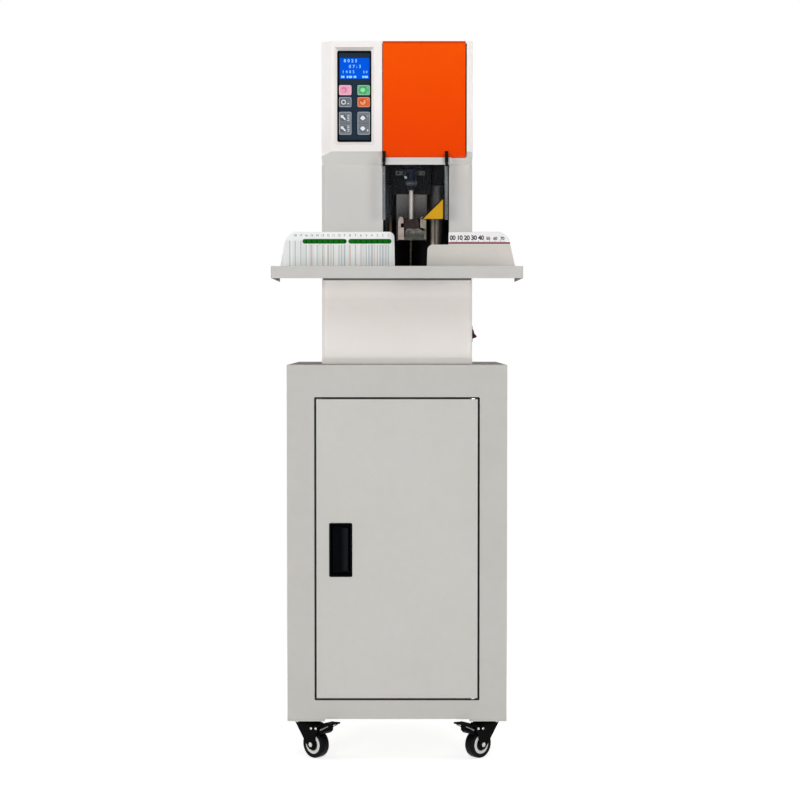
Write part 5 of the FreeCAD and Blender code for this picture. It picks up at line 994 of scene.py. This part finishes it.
core = lathe([(0, 846.7), (5.8, 846.7), (5.8, 850.5), (ROOT, 851.0), (ROOT, 1226.0), (4.0, THREAD_TOP),
              (4.0, 1237.6), (3.6, 1238.0), (0, 1238.0)], (SCREW_X, SCREW_Y, 0), up, 28)
screw = place("lead_screw_thread", gather(bm, core), screw_steel, "screw")
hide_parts("lead_screw")

# ---------------------------------------------------------------- carriage, spindle and drill
# Black cast carriage with two gib strips screwed on, the spindle and its chuck in front, and a bright
# hollow drill held by a grub screw. The gearmotor stands on top.

cast_black = finish(
    "carriage_casting", (10, 11, 15), 0.5, worn=(38, 40, 46), dirt=(20, 22, 25), grain=500, bump=60,
    soil=0.3, reach=1.2, wear=0.4, shine=0.04)
eased("carriage", 0.8, cast_black)
# The chuck's blacked steel carries a lighter painted highlight in a band round its nose at about Z 1029.5.
chuck_black_with_highlight = finish(
    "chuck_steel_painted_highlight", (12, 14, 24), 0.26, worn=(104, 110, 124), dirt=(8, 9, 14), metal=1.0, grain=1500,
    soil=0.4, dust=0.08, reach=1.2, wear=0.7, bands=[("Z", 1029.5, 2.0, 6.0, (66, 69, 74))])
eased("spindle", 0.4, chuck_black_with_highlight)
bit_steel = finish(
    "drill_steel", (142, 136, 131), 0.34, dirt=(112, 106, 100), metal=1.0, grain=1700, streak=(1, 1, 0.05),
    bump=4, soil=0.2)
dress(bit_steel, "drill_bit")
DRILL_X, DRILL_Y = 25.5, -78.0
grub = button_head((DRILL_X - 8.6, DRILL_Y - 6.6, 1041.5), (-0.72, -0.45, 0.53), 2.3, 4.4)
place("chuck_screw", grub, bright_zinc, "drill")
collet = lathe([(3.9, 0), (5.4, 0.4), (6.3, 2.6), (5.2, 4.2), (6.4, 5.6), (6.4, 8.0), (3.9, 8.0), (3.9, 0)],
               (DRILL_X, DRILL_Y, 1019.0), up, 32)
collet_steel = finish(
    "collet_steel", (56, 58, 62), 0.3, worn=(150, 152, 158), dirt=(20, 20, 24), metal=1.0, grain=1500,
    soil=0.5, dust=0.08, reach=1.0)
place("drill_collet", collet, collet_steel, "drill")
motor_grey = finish(
    "motor_case", (90, 92, 96), 0.4, worn=(150, 150, 152), dirt=(60, 58, 56), metal=1.0, grain=1300,
    soil=0.3, dust=0.08)
eased("drill_motor", 1.0, motor_grey)
dress(motor_grey, "lift_motor")
gib_bronze = finish(
    "gib_strip", (48, 48, 46), 0.45, worn=(84, 82, 78), dirt=(40, 38, 36), grain=1300, soil=0.3)
BLOCK_FACE = -62.1
gibs = [slab(oblong(span, (1048.5, 1056.0)), BLOCK_FACE - 2.3, BLOCK_FACE, "y", 0.8, 0.4)
        for span in ((-2.5, 15.6), (34.4, 50.5))]
place("gib_strips", gibs, gib_bronze, "slide_carriage")
gib_screws = [
    button_head((x, BLOCK_FACE - 2.3, 1052.2), (0, -1, 0), 1.8, 1.2) for x in (2.0, 11.0, 39.0, 46.5)]
place("gib_screws", gib_screws, chuck_black_with_highlight, "slide_carriage")

# ---------------------------------------------------------------- press foot
# Mottled cast foot with two ground cheek plates, over a dark red nylon bush round the drill. It is
# screwed to a steel slide plate, painted darker towards its lower end, that runs in the carriage.

foot_cast = finish(
    "foot_cast", (66, 64, 58), 0.42, worn=(120, 116, 106), dirt=(22, 20, 20), metal=0.6, grain=1600,
    bump=80, soil=0.8, patch=240, tone=0.4, tone_range=(0.4, 0.6))
cast_foot = eased("press_foot", 0.7, foot_cast)
SOLE = 928.8
for vertex in cast_foot.data.vertices:
    vertex.co.z = max(vertex.co.z, SOLE * mm)
FOOT_LEFT, FOOT_RIGHT, FOOT_FACE = 1.7, 52.6, -94.0
cheek_steel = finish(
    "cheek_ground_steel", (138, 127, 120), 0.36, worn=(168, 158, 150), dirt=(98, 88, 82), metal=0.7,
    grain=1400, streak=(1, 1, 0.2), bump=10, soil=0.6, reach=1.2, wear=0.6, patch=90)
dull_steel = finish(
    "cheek_dull_steel", (124, 118, 108), 0.4, worn=(158, 150, 138), dirt=(66, 60, 54), metal=0.7,
    grain=1400, soil=0.8, reach=1.2, wear=0.6, patch=160, bands=[("Z", 936.0, 9.0, 13.0, (88, 84, 79))])


def cheek(outline, proud=0.6, corner=0.8):
    """A ground plate let into the foot's face."""
    return slab(outline, FOOT_FACE - proud, FOOT_FACE + 0.4, "y", corner, 0.3)


left_cheek = [
    cheek([(2.0, 929.4), (12.6, 929.4), (12.6, 951.4), (2.0, 951.4)]),
    cheek([(2.0, 951.8), (6.8, 951.8), (6.8, 958.8), (11.6, 958.8), (11.6, 966.4), (9.4, 970.6), (4.0, 970.6),
           (2.0, 966.8)])]
place("foot_left_cheek", left_cheek, cheek_steel, "foot")
right_cheek = [
    cheek([(42.0, 951.0), (52.2, 949.0), (52.2, 966.8), (50.4, 970.6), (43.8, 970.6), (42.0, 966.4)]),
    cheek([(49.2, 929.6), (52.2, 929.6), (52.2, 946.0), (49.2, 944.0)], 0.5, 0.6)]
place("foot_right_cheek", right_cheek, dull_steel, "foot")
mottled = finish(
    "foot_mottled_bar", (98, 97, 88), 0.42, dirt=(24, 24, 22), metal=0.5, grain=1600, bump=80, soil=1.0,
    patch=320, tone=0.6, tone_range=(0.4, 0.6), bands=[("Z", 931.0, 6.5, 12.0, (44, 43, 40))])
bar_front = slab([(14.6, 929.8), (48.8, 929.8), (48.8, 943.6), (41.0, 949.6), (18.0, 949.6), (14.6, 946.0)],
                 FOOT_FACE + 0.2, FOOT_FACE + 4.6, "y", 1.2, 0.6)
place("foot_cast_bar", bar_front, mottled, "foot")
maroon = finish(
    "foot_red_nylon", (50, 37, 38), 0.5, dirt=(26, 16, 16), grain=1300, soil=0.8, patch=160, shine=0.1)
bush = slab([(12.2, 949.8), (40.4, 949.8), (40.4, 959.0), (37.0, 966.8), (16.4, 966.8), (12.2, 963.0)],
            FOOT_FACE + 2.4, FOOT_FACE + 7.6, "y", 1.6, 0.8)
place("foot_bush", bush, maroon, "foot")
# A near-black plate behind the drill is painted shade, darkening the middle of the foot.
shade = finish("foot_painted_shade", (16, 13, 14), 0.6, soil=0.3, shine=0.05)
shade_plate = slab(
    oblong((FOOT_LEFT + 4.6, FOOT_RIGHT - 4.6), (934.2, 968.4)), DRILL_Y + 6.0, DRILL_Y + 9.0, "y", 1.0, 0.4)
place("foot_painted_shade_plate", shade_plate, shade, "foot")
plate_steel = finish(
    "slide_plate_steel", (92, 87, 83), 0.42, worn=(118, 110, 104), dirt=(66, 60, 62), metal=0.5, grain=1500,
    streak=(1, 1, 0.06), bump=10, soil=0.3, reach=4, wear=0.8, patch=22,
    bands=[("Z", 929.0, 46.0, 84.0, (26, 25, 26))])
eased("foot_slide_plate", 0.5, plate_steel)

# ---------------------------------------------------------------- rivet ram and actuator
# A polished ram with its heated collar flares the rivet tube. It runs through the actuator body, which
# hangs from the top plate.

ram_steel = finish(
    "ram_steel", (150, 146, 140), 0.25, dirt=(110, 96, 82), metal=1.0, grain=1600, streak=(1, 1, 0.05),
    dust=0.08)
dress(ram_steel, "rivet_ram")
eased("rivet_actuator", 0.8, motor_grey)

# ---------------------------------------------------------------- studio
# A pale floor that keeps a soft shadow near the object and runs out to white, white surroundings, two
# large soft lamps in front, one above, one behind and one at each side, and the camera.

floor_mesh = bpy.data.meshes.new("floor")
bm = bmesh.new()
bmesh.ops.create_grid(bm, x_segments=1, y_segments=1, size=30.0)
bm.to_mesh(floor_mesh)
bm.free()
floor = bpy.data.objects.new("floor", floor_mesh)
bpy.context.collection.objects.link(floor)
floor_white = bpy.data.materials.new("floor_white")
floor_white.use_nodes = True
tree = floor_white.node_tree
shader = tree.nodes["Principled BSDF"]
feed(tree, shader, {"Base Color": (0.9, 0.9, 0.9, 1), "Roughness": 0.9, "Specular IOR Level": 0.0})
lift = wired(tree, "Emission", {"Strength": 0.7})
lifted = wired(tree, "AddShader", {0: shader.outputs[0], 1: lift.outputs[0]})
paper_white = wired(tree, "Emission", {"Strength": 1.0})
distance = wired(tree, "VectorMath", {0: own_point(tree)}, operation="LENGTH").outputs["Value"]
SHADOW_END, WHITE_START = 0.5, 1.1
outwards = spread(tree, distance, SHADOW_END, WHITE_START)
far = wired(tree, "MixShader", {0: outwards, 1: lifted.outputs[0], 2: paper_white.outputs[0]})


def seen_straight(tree):
    """1 where a ray comes from the camera, from a glossy face or through the guard."""
    rays = wired(tree, "LightPath", {}).outputs
    seen = maths(tree, "MAXIMUM", rays["Is Camera Ray"], rays["Is Glossy Ray"])
    return maths(tree, "MAXIMUM", seen, rays["Is Transmission Ray"])


shown = wired(tree, "MixShader", {0: seen_straight(tree), 1: shader.outputs[0], 2: far.outputs[0]})
feed(tree, tree.nodes["Material Output"], {"Surface": shown.outputs[0]})
floor_mesh.materials.append(floor_white)

world = bpy.data.worlds.new("studio")
bpy.context.scene.world = world
world.use_nodes = True
tree = world.node_tree
soft = tree.nodes["Background"]
feed(tree, soft, {"Color": (1, 1, 1, 1), "Strength": 0.28})
white = wired(tree, "Background", {"Color": (1, 1, 1, 1), "Strength": 1.0})
mixer = wired(tree, "MixShader", {0: seen_straight(tree), 1: soft.outputs[0], 2: white.outputs[0]})
feed(tree, tree.nodes["World Output"], {"Surface": mixer.outputs[0]})

BODY_HEIGHT = (0, 0, 0.75)
for name, place_at, aim, power, size in (
    ("front_left_lamp", (-2.0, -5.2, 0.85), BODY_HEIGHT, 94, 1.8),
    ("front_right_lamp", (2.3, -5.0, 0.65), BODY_HEIGHT, 82, 1.8),
    ("overhead_lamp", (0.0, -0.4, 3.2), (0, 0, 1.2), 12, 1.6),
    ("rear_lamp", (0.4, 2.8, 1.6), BODY_HEIGHT, 24, 1.6),
    ("left_lamp", (-3.0, 0.3, 1.3), BODY_HEIGHT, 14, 1.4),
    ("right_lamp", (3.0, 0.3, 1.3), BODY_HEIGHT, 14, 1.4)):
    data = bpy.data.lights.new(name, "AREA")
    data.energy = power
    data.size = size
    lamp = bpy.data.objects.new(name, data)
    lamp.location = place_at
    lamp.rotation_euler = (Vector(aim) - Vector(place_at)).to_track_quat("-Z", "Y").to_euler()
    bpy.context.collection.objects.link(lamp)

CAMERA_TILT = 2.032
camera_data = bpy.data.cameras.new("camera")
camera_data.lens = 82.44
camera_data.sensor_width = 36.0
camera_data.clip_end = 60.0
camera = bpy.data.objects.new("camera", camera_data)
camera.location = (0.0053, -3.421, 0.7567)
camera.rotation_euler = (math.radians(90 - CAMERA_TILT), 0, 0)
bpy.context.collection.objects.link(camera)
bpy.context.scene.camera = camera
bpy.context.scene.view_settings.view_transform = "Standard"
